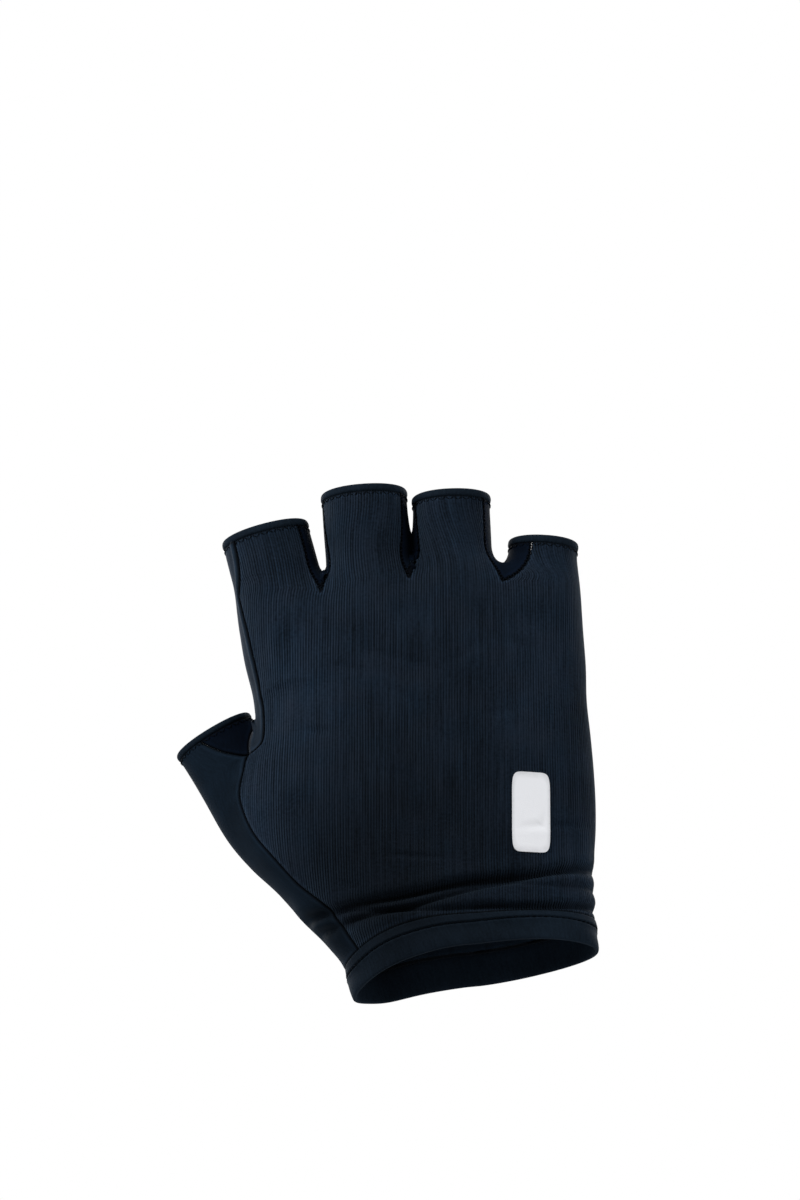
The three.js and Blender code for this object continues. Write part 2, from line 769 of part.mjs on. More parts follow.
// Sum over a grid of how far its faces look out of the form; negative when they look in.
function facing(quads, points) {
  return quads.reduce((sum, [a, b, c, d]) => {
    const across = points[c].clone().sub(points[a]);
    const normal = across.cross(points[d].clone().sub(points[b]));
    return sum + normal.dot(slopeOf(points[a]));
  }, 0);
}

function freeEdges(faces) {
  const edges = new Map();
  for (const face of faces)
    face.forEach((from, i) => {
      const to = face[(i + 1) % 3];
      if (!edges.delete(to + "," + from)) edges.set(from + "," + to, [from, to]);
    });
  return [...edges.values()];
}

// Moves the free edge's points into the piece, along its surface.
function drawBack(points, edges, distance) {
  const inward = new Map();
  for (const [from, to] of edges) {
    const direction = points[to].clone().sub(points[from]).normalize();
    for (const end of [from, to]) {
      const step = slopeOf(points[end]).normalize().cross(direction).normalize();
      inward.set(end, [...(inward.get(end) ?? []), step]);
    }
  }
  for (const [end, steps] of inward) {
    const sum = steps.reduce((total, step) => total.add(step), new THREE.Vector3());
    const squareness = Math.max(sum.lengthSq() / steps.length, 0.08);
    points[end].addScaledVector(sum, distance / squareness);
  }
}

function geometryFrom(points, triangles) {
  const geometry = new THREE.BufferGeometry();
  geometry.setAttribute(
    "position",
    new THREE.Float32BufferAttribute(points.flatMap((point) => point.toArray()), 3),
  );
  geometry.setIndex(triangles.flat());
  geometry.computeVertexNormals();
  return geometry;
}

// A hem: a closed band round an opening. place(angle, down) gives a rough point at a distance below
// the opening's edge, and the section is a rectangle with its outer corners rounded.
function hemGeometry(angles, height, place) {
  const low = height - SEAM_GAP / 2;
  const round = Math.min(HEM_WALL / 3, height / 4);
  const section = [
    { down: 0, out: HEM_PROUD - HEM_WALL },
    { down: 0, out: HEM_PROUD - round },
    { down: round, out: HEM_PROUD },
    { down: low - round, out: HEM_PROUD },
    { down: low, out: HEM_PROUD - round },
    { down: low, out: HEM_PROUD - HEM_WALL },
  ];
  const points = angles.flatMap((angle) =>
    section.map(({ down, out }) => {
      const point = onForm(place(angle, down));
      return point.addScaledVector(slopeOf(point).normalize(), out);
    }),
  );
  const triangles = [];
  const around = angles.length;
  const wide = section.length;
  for (let i = 0; i < around; i++)
    for (let j = 0; j < wide; j++) {
      const here = i * wide;
      const next = ((i + 1) % around) * wide;
      const beside = (j + 1) % wide;
      triangles.push([here + j, next + j, next + beside]);
      triangles.push([here + j, next + beside, here + beside]);
    }
  return geometryFrom(points, outwards(points, triangles));
}

// Triangles of a closed body, turned so that they face out.
function outwards(points, triangles) {
  const volume = triangles.reduce(
    (sum, [a, b, c]) => sum + points[a].dot(points[b].clone().cross(points[c])),
    0,
  );
  return volume < 0 ? triangles.map((triangle) => triangle.toReversed()) : triangles;
}

// Pieces
const glove = new THREE.Group();

function addPiece(name, geometry, material) {
  const mesh = new THREE.Mesh(geometry, material);
  mesh.name = name;
  glove.add(mesh);
}

const cloth = (color, roughness) =>
  new THREE.MeshStandardMaterial({ color, roughness, metalness: 0 });
const ribbedCloth = cloth(0x0c1218, 0.8);
const smoothCloth = cloth(0x06090e, 0.7);
const palmCloth = cloth(0x141a20, 0.9);
const hemCloth = cloth(0x05070b, 0.75);
const patchFilm = cloth(0xf0f1f6, 0.45);

// Back panel
const backGrids = FINGERS.flatMap((finger, i) => [
  palmGrid(backGuides, i, BACK_COLUMNS[i]),
  tabGrid(i, backGuides, i, finger.backLeft, finger.backRight, BACK_COLUMNS[i]),
]);
addPiece("back_panel", clothGeometry(backGrids, BACK_WALL), ribbedCloth);

// Palm panel, with its wrap over the forefinger side to the strip seam
const palmOrder = [3, 2, 1, 0];
const palmGrids = palmOrder.flatMap((i, guide) => [
  palmGrid(palmGuides, guide, PALM_COLUMNS[guide]),
  tabGrid(i, palmGuides, guide, FINGERS[i].palmRight, FINGERS[i].palmLeft, PALM_COLUMNS[guide]),
]);

// The thumb crotch's line, from its palm end round to its back end
const thumbCrotchBack = backEdgePoint(THUMB_CROTCH_ROW);
const thumbCrotchPalm = palmEdgePoint(THUMB_CROTCH_ROW);
function thumbCrotchLine(share) {
  const point = thumbCrotchPalm.clone().lerp(thumbCrotchBack, share);
  point.x -= 4 * share * (1 - share) * THUMB_CROTCH_SHIFT * PALM_WIDTH;
  point.z += 4 * share * (1 - share) * THUMB_CROTCH_RISE * PALM_LENGTH;
  return point;
}
const wrapRows = PALM_ROWS - THUMB_CROTCH_ROW;
const wrapGrid = grid(wrapRows, WRAP_COLUMNS, (row, share) => {
  const from = palmEdgePoint(row + THUMB_CROTCH_ROW);
  const to = backEdgePoint(row + THUMB_CROTCH_ROW);
  const lift = thumbCrotchLine(share).z - thumbCrotchLine(0).lerp(thumbCrotchLine(1), share).z;
  const point = around(palm, from, to, share);
  point.z += lift * (1 - row / wrapRows);
  if (row > 0) return point;
  return thumbCrotchLine(share);
});
const indexTabLeft = FINGERS[0].palmLeft;
const wrapTab = grid(FINGER_ROWS, WRAP_COLUMNS, (row, share) => {
  const height = row / FINGER_ROWS;
  const left = fingerSeam(0, palmEdgePoint(PALM_ROWS), indexTabLeft, height);
  const right = fingerSeam(0, backEdgePoint(PALM_ROWS), FINGERS[0].backLeft + 360, height);
  const flat = around(palm, left, right, share);
  const round = around(fingers[0], left, right, share);
  return flat.lerp(round, height * (2 - height));
});
addPiece("palm_panel", clothGeometry([...palmGrids, wrapGrid, wrapTab], PALM_WALL), palmCloth);

// Fourchettes between neighbouring fingers
CROTCHES.forEach((_, i) => {
  const before = FINGERS[i];
  const after = FINGERS[i + 1];
  const grids = [
    fourchetteGrid(i, i, before.backRight, before.palmRight),
    fourchetteGrid(i + 1, i, after.backLeft, after.palmLeft - 360),
  ];
  addPiece(
    `fourchette_${before.name}_${after.name}`,
    clothGeometry(grids, FOURCHETTE_WALL, INSERT_INSET),
    smoothCloth,
  );
});

// Thumb: the web seams run from the crotch to the opening
function thumbSeam(start, topAngle, share) {
  const { along, angle } = thumb.place(start);
  const from = topAngle > 180 && angle < 0 ? angle + 360 : angle;
  const point = thumb.point(
    lerp(along, -THUMB_HEM_HEIGHT, share ** 1.6),
    lerp(from, topAngle, share),
  );
  const miss = start.clone().sub(thumb.point(along, angle));
  return point.addScaledVector(miss, (1 - share) ** 2);
}
const thumbBackSeam = (share) => thumbSeam(thumbCrotchBack, THUMB_SEAM_BACK, share);
const thumbPalmSeam = (share) => thumbSeam(thumbCrotchPalm, THUMB_SEAM_PALM, share);

const thumbRowCount = THUMB_CROTCH_ROW + THUMB_WEB_ROWS;
const thumbGrid = grid(thumbRowCount, THUMB_COLUMNS, (row, share) => {
  const footAngle = lerp(palmEdge[0].angle, backEdge[0].angle + 360, share);
  if (row === 0) return palm.point(panelFoot(footAngle), footAngle);
  const web = (row - THUMB_CROTCH_ROW) / THUMB_WEB_ROWS;
  const from = web > 0 ? thumbPalmSeam(web) : palmEdgePoint(row);
  const to = web > 0 ? thumbBackSeam(web) : backEdgePoint(row);
  return around(thumb, from, to, share);
});
addPiece("thumb_panel", clothGeometry([thumbGrid], THUMB_WALL), smoothCloth);

// The web panel's lower edge: back seam, crotch line, palm seam. It fans out to the opening.
const webColumns = 2 * THUMB_WEB_ROWS + WRAP_COLUMNS;
function webFoot(column) {
  const onLine = column - THUMB_WEB_ROWS;
  if (onLine < 0) return thumbBackSeam(-onLine / THUMB_WEB_ROWS);
  if (onLine <= WRAP_COLUMNS) return thumbCrotchLine(1 - onLine / WRAP_COLUMNS);
  return thumbPalmSeam((onLine - WRAP_COLUMNS) / THUMB_WEB_ROWS);
}
const thumbWebGrid = grid(THUMB_WEB_DEPTH_ROWS, webColumns, (row, share) => {
  const foot = webFoot(Math.round(share * webColumns));
  const angle = lerp(THUMB_SEAM_BACK, THUMB_SEAM_PALM, share);
  const top = thumb.point(-THUMB_HEM_HEIGHT, angle);
  return across(thumb, foot, top, row / THUMB_WEB_DEPTH_ROWS);
});
addPiece(
  "thumb_web_panel",
  clothGeometry([thumbWebGrid], THUMB_WALL, INSERT_INSET),
  smoothCloth,
);

// Hems of the finger and thumb openings
FINGERS.forEach((finger, i) => {
  const spans = [{ from: finger.backLeft, to: finger.backRight, columns: BACK_COLUMNS[i] }];
  if (finger.palmRight > finger.backRight)
    spans.push({ from: finger.backRight, to: finger.palmRight, columns: FOURCHETTE_COLUMNS });
  spans.push({
    from: finger.palmRight,
    to: finger.palmLeft,
    columns: PALM_COLUMNS[palmOrder.indexOf(i)],
  });
  spans.push({
    from: finger.palmLeft,
    to: finger.backLeft + 360,
    columns: i === 0 ? WRAP_COLUMNS : FOURCHETTE_COLUMNS,
  });
  const geometry = hemGeometry(loopAngles(spans), FINGER_HEM_HEIGHT, (angle, down) =>
    fingers[i].point(-down, angle),
  );
  addPiece(`${finger.name}_hem`, geometry, hemCloth);
});

const thumbLoop = loopAngles([
  { from: THUMB_SEAM_BACK, to: THUMB_SEAM_PALM, columns: webColumns },
  { from: THUMB_SEAM_PALM, to: THUMB_SEAM_BACK + 360, columns: THUMB_COLUMNS },
]);
addPiece(
  "thumb_hem",
  hemGeometry(thumbLoop, THUMB_HEM_HEIGHT, (angle, down) => thumb.point(-down, angle)),
  hemCloth,
);

// Wrist hem, sampled at the angles of the panels' foot
const footAngles = [
  ...backGuides.slice(0, -1).flatMap((guide, i) =>
    loopAngles([{ from: guide[0].angle, to: backGuides[i + 1][0].angle, columns: BACK_COLUMNS[i] }]),
  ),
  ...palmGuides.slice(0, -1).flatMap((guide, i) =>
    loopAngles([{ from: guide[0].angle, to: palmGuides[i + 1][0].angle, columns: PALM_COLUMNS[i] }]),
  ),
  ...loopAngles([
    { from: palmEdge[0].angle, to: backEdge[0].angle + 360, columns: THUMB_COLUMNS },
  ]),
];
addPiece(
  "wrist_hem",
  hemGeometry(footAngles, WRIST_HEM_HEIGHT, (angle, down) =>
    palm.point(wristEdge(angle) + down, angle),
  ),
  hemCloth,
);

// Reflective patch: a rounded rectangle laid over the back panel, in rings about its middle
function patchGeometry() {
  const outline = new THREE.Path();
  const [wide, high] = [PATCH_WIDTH / 2, PATCH_HEIGHT / 2];
  outline.moveTo(wide, PATCH_CORNER - high);
  outline.lineTo(wide, high - PATCH_CORNER);
  outline.absarc(wide - PATCH_CORNER, high - PATCH_CORNER, PATCH_CORNER, 0, Math.PI / 2);
  outline.lineTo(PATCH_CORNER - wide, high);
  outline.absarc(PATCH_CORNER - wide, high - PATCH_CORNER, PATCH_CORNER, Math.PI / 2, Math.PI);
  outline.lineTo(-wide, PATCH_CORNER - high);
  outline.absarc(PATCH_CORNER - wide, PATCH_CORNER - high, PATCH_CORNER, Math.PI, 1.5 * Math.PI);
  outline.lineTo(wide - PATCH_CORNER, -high);
  outline.absarc(wide - PATCH_CORNER, PATCH_CORNER - high, PATCH_CORNER, 1.5 * Math.PI, 0);
  const loop = outline.getSpacedPoints(PATCH_POINTS).slice(0, PATCH_POINTS);
  const place = ({ x, y }, size, lift) => {
    const up = PATCH_UP * PALM_LENGTH + size * y;
    const point = castOnForm(PATCH_ACROSS * PALM_WIDTH + size * x, up, false);
    return point.addScaledVector(slopeOf(point).normalize(), lift);
  };
  const rings = PATCH_RINGS.map(({ size, lift }) => loop.map((spot) => place(spot, size, lift)));
  const points = rings.flat();
  const triangles = [];
  for (let ring = 0; ring + 1 < rings.length; ring++)
    for (let i = 0; i < PATCH_POINTS; i++) {
      const next = (i + 1) % PATCH_POINTS;
      const [a, b] = [ring * PATCH_POINTS + i, ring * PATCH_POINTS + next];
      triangles.push([a, b, b + PATCH_POINTS]);
      triangles.push([a, b + PATCH_POINTS, a + PATCH_POINTS]);
    }
  const last = points.length - PATCH_POINTS;
  for (const [first, lift, turned] of [
    [0, PATCH_RINGS[0].lift, true],
    [last, PATCH_RINGS.at(-1).lift, false],
  ]) {
    const middle = points.push(place({ x: 0, y: 0 }, 0, lift)) - 1;
    for (let i = 0; i < PATCH_POINTS; i++) {
      const edge = [first + i, first + ((i + 1) % PATCH_POINTS)];
      triangles.push(turned ? [middle, edge[1], edge[0]] : [middle, edge[0], edge[1]]);
    }
  }
  return geometryFrom(points, outwards(points, triangles));
}
addPiece("reflective_patch", patchGeometry(), patchFilm);

export default glove;
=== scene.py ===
"""Short-finger cycling glove for a right hand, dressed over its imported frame.

+Z runs from the wrist to the fingers, -Y is the back of the hand, +X is the little-finger side.
Shapes are worked out in millimetres and become metres when they are put into a mesh.
"""

import math

import bmesh
import bpy
import numpy as np
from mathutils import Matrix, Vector


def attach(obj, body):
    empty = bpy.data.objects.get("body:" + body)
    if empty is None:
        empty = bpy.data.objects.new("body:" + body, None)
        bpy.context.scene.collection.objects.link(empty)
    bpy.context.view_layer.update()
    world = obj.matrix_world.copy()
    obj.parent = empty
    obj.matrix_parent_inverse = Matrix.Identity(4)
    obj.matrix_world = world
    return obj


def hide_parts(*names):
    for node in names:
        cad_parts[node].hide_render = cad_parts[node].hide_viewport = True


bl_info = {
    "name": "Short-finger glove",
    "version": (1, 0, 0),
    "blender": (4, 5, 0),
    "location": "View3D > Sidebar > Glove",
    "description": "Sewn cloth, hems, stitches and patch of a short-finger glove",
    "category": "Object",
}

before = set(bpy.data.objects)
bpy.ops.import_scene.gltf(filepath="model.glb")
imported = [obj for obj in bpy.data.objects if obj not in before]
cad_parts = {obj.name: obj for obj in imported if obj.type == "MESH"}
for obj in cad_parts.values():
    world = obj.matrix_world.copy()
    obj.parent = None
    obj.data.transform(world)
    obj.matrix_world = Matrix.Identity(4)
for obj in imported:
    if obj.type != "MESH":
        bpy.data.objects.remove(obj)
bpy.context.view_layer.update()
MM = 0.001
UV_SPAN = 100.0  # millimetres of cloth in one unit of the UV map

# Driving sizes, over the cloth
PALM_LENGTH = 108.0
PALM_WIDTH = 91.0
PALM_DEPTH = 29.0
WRIST_WIDTH = 65.5
WRIST_DEPTH = 40.0
FINGER_LENGTH = 23.0
FINGER_WIDTH = 0.2484 * PALM_WIDTH
FINGER_DEPTH = 21.6
THUMB_LENGTH = 82.0
THUMB_WIDTH = 23.4
THUMB_DEPTH = 20.0
THUMB_LEAN = 31.0

BACK_WALL = 1.0
PALM_WALL = 1.3
THUMB_WALL = 1.0
FOURCHETTE_WALL = 1.0
HEM_WALL = 1.5
HEM_PROUD = 0.3
FINGER_HEM_HEIGHT = 2.2
THUMB_HEM_HEIGHT = 1.8
WRIST_HEM_HEIGHT = 8.5
SEAM_GAP = 0.3

PATCH_WIDTH = 10.0
PATCH_HEIGHT = 22.0
PATCH_ACROSS = 0.148
PATCH_UP = 0.385

# Sections of the hand form: up, left, right, back, palm, bow.
# up is a share of PALM_LENGTH, the rest of the wrist's or the palm's width and depth.
WRIST_SECTIONS = np.array(
    [
        (-0.13, -0.5, 0.515, 0.46, 0.49, 0),
        (-0.063, -0.51, 0.505, 0.45, 0.48, 0),
        (0.013, -0.54, 0.489, 0.435, 0.465, 0),
        (0.074, -0.6, 0.478, 0.415, 0.445, 0.01),
    ]
)
PALM_SECTIONS = np.array(
    [
        (0.14, -0.505, 0.337, 0.555, 0.59, 0.03),
        (0.213, -0.57, 0.333, 0.54, 0.58, 0.05),
        (0.287, -0.637, 0.334, 0.525, 0.56, 0.07),
        (0.367, -0.69, 0.34, 0.515, 0.54, 0.09),
        (0.443, -0.709, 0.341, 0.51, 0.52, 0.11),
        (0.519, -0.693, 0.337, 0.505, 0.49, 0.13),
        (0.593, -0.659, 0.329, 0.5, 0.46, 0.15),
        (0.694, -0.662, 0.316, 0.5, 0.45, 0.16),
        (0.796, -0.685, 0.311, 0.495, 0.45, 0.17),
        (0.898, -0.69, 0.293, 0.475, 0.43, 0.17),
        (1.0, -0.7, 0.278, 0.44, 0.38, 0.17),
        (1.15, -0.7, 0.278, 0.4, 0.35, 0.17),
    ]
)
PALM_POWER = 2.5
PALM_END = 1.03
PALM_END_FALL = 0.12
PALM_END_BLEND = 0.36

# Sections of a finger tube: at (share of FINGER_LENGTH), width, depth
FINGER_SECTIONS = np.array(
    [
        (-1.75, 0.8, 0.72),
        (-1.15, 0.98, 1.0),
        (-0.6, 1.01, 1.02),
        (0, 1, 1),
        (0.7, 0.98, 0.98),
    ]
)
FINGER_POWER = 2.1

# Finger tubes and the angles of their seams, from the back round the finger
FINGERS = (
    dict(name="index", across=-0.632, above=0.583, lean=15, width=1.03, depth=0.98, deep=0.05,
         back_left=-49, back_right=48, palm_right=118, palm_left=248, sweep=2),
    dict(name="middle", across=-0.34, above=1.04, lean=4, width=1, depth=1, deep=0.0,
         back_left=-78, back_right=60, palm_right=118, palm_left=242, sweep=2),
    dict(name="ring", across=-0.082, above=1.0, lean=2, width=0.91, depth=0.95, deep=0.03,
         back_left=-70, back_right=55, palm_right=118, palm_left=242, sweep=2),
    dict(name="little", across=0.19, above=0.496, lean=-3, width=0.81, depth=0.85, deep=0.16,
         back_left=-20, back_right=125, palm_right=125, palm_left=242, sweep=3.2),
)
# Crotches between neighbouring fingers: across of PALM_WIDTH, back and palm of PALM_LENGTH
CROTCHES = ((-0.466, 0.955, 0.995), (-0.203, 0.995, 1.02), (0.07, 0.98, 1.01))

# Sections of the thumb: at, left, right, back, palm, deep
THUMB_SECTIONS = np.array(
    [
        (-1.16, -0.21, 0.68, 0.8, 0.85, 0.05),
        (-1.02, -0.158, 0.77, 0.8, 0.85, 0.07),
        (-0.91, -0.085, 0.85, 0.78, 0.82, 0.12),
        (-0.74, -0.215, 0.92, 0.75, 0.78, 0.22),
        (-0.605, -0.33, 0.86, 0.72, 0.74, 0.32),
        (-0.47, -0.45, 0.74, 0.66, 0.7, 0.42),
        (-0.337, -0.515, 0.58, 0.6, 0.62, 0.5),
        (-0.18, -0.507, 0.45, 0.54, 0.55, 0.56),
        (0, -0.5, 0.45, 0.5, 0.52, 0.6),
        (0.2, -0.49, 0.44, 0.48, 0.5, 0.62),
    ]
)
THUMB_POWER = 2.15
THUMB_OPENING_ACROSS = -0.779
THUMB_OPENING_UP = 0.634
THUMB_SEAM_BACK = -24.0
THUMB_SEAM_PALM = 204.0

# Seam between the back panel and the thumb, then the strip: up, across
BACK_EDGE = np.array(
    [
        (-0.07, -0.3), (0.043, -0.352), (0.16, -0.46), (0.214, -0.53), (0.295, -0.613),
        (0.344, -0.657), (0.395, -0.685), (0.45, -0.699), (0.505, -0.69), (0.556, -0.672),
        (0.582, -0.638), (0.64, -0.632), (0.718, -0.641), (0.807, -0.655), (0.879, -0.66),
        (0.956, -0.672), (1.08, -0.705),
    ]
)
THENAR_EDGE = np.array(
    [(-0.07, -0.29), (0.08, -0.37), (0.19, -0.46), (0.32, -0.55), (0.46, -0.61), (0.57, -0.65)]
)
THUMB_CROTCH_BACK_UP = 0.556
THUMB_CROTCH_PALM_UP = 0.57
THUMB_CROTCH_RISE = 0.075
THUMB_CROTCH_SHIFT = 0.01
SIDE_SEAM_ANGLE = 125.0
WRAP_ANGLE = 248.0

WRIST_SLOPE = 0.098
WRIST_BACK_RISE = 0.075
WRIST_PALM_RISE = 0.01

# Folds above the wrist hem: height at the thumb end and at the other end, left, right, depth
# and width
FOLDS = (
    (0.14, 0.275, -0.42, 0.45, 1.0, 1.0),
    (0.1, 0.205, -0.42, 0.1, 0.6, 0.9),
    (0.135, 0.165, -0.05, 0.45, 0.75, 0.7),
)
FOLD_DEPTH = 1.5
FOLD_HALF_WIDTH = 2.6

FINGER_BLEND = 2.5
PALM_FINGER_BLEND = 7.0
PALM_THUMB_BLEND = 4.0

MIDDLE_ACROSS = -0.17  # of the line up the middle of the hand, of PALM_WIDTH

# Rows of the panels' patterns, counted from the foot to the finger crotches
PALM_ROWS = 24
THUMB_CROTCH_ROW = 14
WEB_ROWS = 4


def mix(a, b, share):
    """The straight mean of a and b that is share of the way from a to b."""
    return a + (b - a) * share


def curve_through(at, value):
    """A smooth curve through the points (at, value).

    Between two points it is a cubic whose end slopes are those from each point's neighbours.
    """
    slope = np.empty_like(value)
    slope[1:-1] = (value[2:] - value[:-2]) / (at[2:] - at[:-2])
    slope[0] = (value[1] - value[0]) / (at[1] - at[0])
    slope[-1] = (value[-1] - value[-2]) / (at[-1] - at[-2])

    def curve(where):
        where = np.clip(where, at[0], at[-1])
        i = np.clip(np.searchsorted(at, where) - 1, 0, len(at) - 2)
        step = at[i + 1] - at[i]
        s = (where - at[i]) / step
        rise = value[i + 1] - value[i]
        a = slope[i] * step - rise
        b = rise - slope[i + 1] * step
        return value[i] + s * rise + s * (1 - s) * (a * (1 - s) + b * s)

    return curve


def signed_power(value, power):
    """|value|^power with the sign of value."""
    return np.sign(value) * np.abs(value) ** power


class Limb:
    """A tube of superellipse sections along a straight axis in the front plane.

    rows hold at, left, right, back, palm, deep and bow. along is measured up the axis from the
    centre and angle round it, in degrees, from the back.
    """

    def __init__(self, centre, lean, power, rows, floor=-math.inf):
        tilt = math.radians(lean)
        self.centre = np.array(centre, float)
        self.up = np.array((-math.sin(tilt), 0, math.cos(tilt)))
        self.side = np.array((math.cos(tilt), 0, math.sin(tilt)))
        self.power = power
        self.floor = floor
        self.curves = [curve_through(rows[:, 0], rows[:, column]) for column in range(1, 7)]

    def section(self, along):
        """Middle and half width of the section, then its depths, its shift and its bow."""
        left, right, back, palm_side, deep, bow = (curve(along) for curve in self.curves)
        return (left + right) / 2, (right - left) / 2, back, palm_side, deep, bow

    def point(self, along, angle):
        """middle + half width * sin^(2/n) across, back or palm depth * cos^(2/n) forwards."""
        along, angle = np.broadcast_arrays(np.asarray(along, float), np.asarray(angle, float))
        middle, half, back, palm_side, deep, bow = self.section(along)
        turn = np.radians(angle)
        sideways = signed_power(np.sin(turn), 2 / self.power)
        forwards = signed_power(np.cos(turn), 2 / self.power)
        depth = np.where(forwards > 0, back, palm_side)
        point = self.centre + along[..., None] * self.up
        point = point + (middle + half * sideways)[..., None] * self.side
        point[..., 1] += deep + bow * sideways**2 - depth * forwards
        return point

    def shares(self, point):
        """along, then a point's place across and forwards as shares of the section's reach."""
        away = point - self.centre
        along = away @ self.up
        middle, half, back, palm_side, deep, bow = self.section(along)
        sideways = (away @ self.side - middle) / half
        depth = away[..., 1] - deep - bow * np.minimum(sideways**2, 1.4)
        reach = np.where(depth < 0, back, palm_side)
        return along, sideways, -depth / reach, half, reach

    def place(self, point):
        """(along, angle) of a point near the tube."""
        along, sideways, forwards, _, _ = self.shares(point)
        turn = np.arctan2(
            signed_power(sideways, self.power / 2), signed_power(forwards, self.power / 2)
        )
        return along, np.degrees(turn)

    def distance(self, point):
        """Distance to the tube's surface to first order, negative inside."""
        along, sideways, forwards, half, reach = self.shares(point)
        n = self.power
        a = np.abs(sideways) + 1e-6
        b = np.abs(forwards) + 1e-6
        size = (a**n + b**n) ** (1 / n)
        steepness = size ** (1 - n) * np.hypot(a ** (n - 1) / half, b ** (n - 1) / reach)
        return np.maximum((size - 1) / steepness, self.floor - along)

    def angle_at(self, along, across, on_palm):
        """Angle at which the section is across from the axis, on its back or palm side."""
        middle, half = self.section(along)[:2]
        share = np.clip((across - middle) / half, -0.999, 0.999)
        angle = np.degrees(np.arcsin(signed_power(share, self.power / 2)))
        return 180 - angle if on_palm else angle


def palm_limb():
    """The wrist and palm: one upright limb from the two tables of sections."""
    wrist = WRIST_SECTIONS * (
        PALM_LENGTH, WRIST_WIDTH, WRIST_WIDTH, WRIST_DEPTH, WRIST_DEPTH, WRIST_DEPTH
    )
    hand = PALM_SECTIONS * (
        PALM_LENGTH, PALM_WIDTH, PALM_WIDTH, PALM_DEPTH, PALM_DEPTH, PALM_DEPTH
    )
    rows = np.concatenate([wrist, hand])
    rows = np.insert(rows, 5, 0, axis=1)
    return Limb((0, 0, 0), 0, PALM_POWER, rows)


def finger_limb(finger):
    """A finger's tube, symmetrical across, centred at the middle of its opening."""
    half = finger["width"] * FINGER_WIDTH / 2
    depth = finger["depth"] * FINGER_DEPTH / 2
    at, width, thickness = FINGER_SECTIONS.T
    deep = np.full_like(at, finger["deep"] * PALM_DEPTH)
    rows = np.stack(
        [at * FINGER_LENGTH, -half * width, half * width, depth * thickness, depth * thickness,
         deep, 0 * at],
        axis=1,
    )
    centre = (finger["across"] * PALM_WIDTH, 0, PALM_LENGTH + finger["above"] * FINGER_LENGTH)
    return Limb(centre, finger["lean"], FINGER_POWER, rows, floor=rows[0, 0])


def thumb_limb():
    """The thumb's tube, leaning away from the palm, centred at the middle of its opening."""
    rows = THUMB_SECTIONS * (
        THUMB_LENGTH, THUMB_WIDTH, THUMB_WIDTH, THUMB_DEPTH, THUMB_DEPTH, THUMB_DEPTH
    )
    rows = np.insert(rows, 6, 0, axis=1)
    centre = (THUMB_OPENING_ACROSS * PALM_WIDTH, 0, THUMB_OPENING_UP * PALM_LENGTH)
    return Limb(centre, THUMB_LEAN, THUMB_POWER, rows)


palm = palm_limb()
fingers = [finger_limb(finger) for finger in FINGERS]
thumb = thumb_limb()


def smooth_min(a, b, blend):
    """The lesser of a and b, less near^2 * blend / 4 where they are within blend of each other."""
    near = np.maximum(blend - np.abs(a - b), 0) / blend
    return np.minimum(a, b) - near * near * blend / 4


def fold_depth(point):
    """Valleys of the wrist folds: a bell across each fold's line, faded at its two ends."""
    total = np.zeros(point.shape[:-1])
    on_back = np.clip(0.5 - point[..., 1] / (WRIST_DEPTH / 4), 0, 1)
    for start, stop, left, right, depth, width in FOLDS:
        share = np.clip((point[..., 0] / PALM_WIDTH - left) / (right - left), 0, 1)
        height = mix(start, stop, share) * PALM_LENGTH
        away = (point[..., 2] - height) / (width * FOLD_HALF_WIDTH)
        fade = np.sin(np.pi * np.clip(share, 0.02, 1) ** 0.6)
        fade = np.sqrt(np.maximum(fade, 0))
        total += depth * FOLD_DEPTH * fade * on_back * np.exp(-away * away)
    return np.where(point[..., 2] > PALM_LENGTH * 0.4, 0, total)


def hand_form(point):
    """Distance-like field of the palm, fingers and thumb run together, zero on the cloth."""
    past = np.minimum(point[..., 0] - CROTCHES[2][0] * PALM_WIDTH, 0)
    end = point[..., 2] - PALM_END * PALM_LENGTH - PALM_END_FALL * past
    body = -smooth_min(-palm.distance(point), -end, PALM_END_BLEND * PALM_DEPTH)
    tubes = fingers[0].distance(point)
    for finger in fingers[1:]:
        tubes = smooth_min(tubes, finger.distance(point), FINGER_BLEND)
    hand = smooth_min(body, tubes, PALM_FINGER_BLEND)
    below = -thumb.shares(point)[0] / THUMB_LENGTH
    blend = PALM_THUMB_BLEND * np.clip(below * 4, 0.7, 1)
    return smooth_min(hand, thumb.distance(point), blend) + fold_depth(point)


def slope_of(point, value=None):
    """Slope of the hand form by small steps along each axis."""
    probe = 0.05
    value = hand_form(point) if value is None else value
    moved = [hand_form(point + probe * axis) for axis in np.eye(3)]
    return (np.stack(moved, axis=-1) - value[..., None]) / probe


def normal_of(point):
    """The form's slope at length one, which points out of the hand."""
    slope = slope_of(point)
    return slope / np.linalg.norm(slope, axis=-1, keepdims=True)


def on_form(point):
    """Newton steps along the slope until the form's value is zero."""
    settled = np.array(point, float)
    flat = settled.reshape(-1, 3)
    left = np.arange(len(flat))
    for _ in range(16):
        value = hand_form(flat[left])
        left, value = left[np.abs(value) > 1e-4], value[np.abs(value) > 1e-4]
        if not len(left):
            break
        slope = slope_of(flat[left], value)
        step = np.clip(value / (slope**2).sum(-1), -3, 3)
        flat[left] -= slope * step[:, None]
    return flat.reshape(settled.shape)


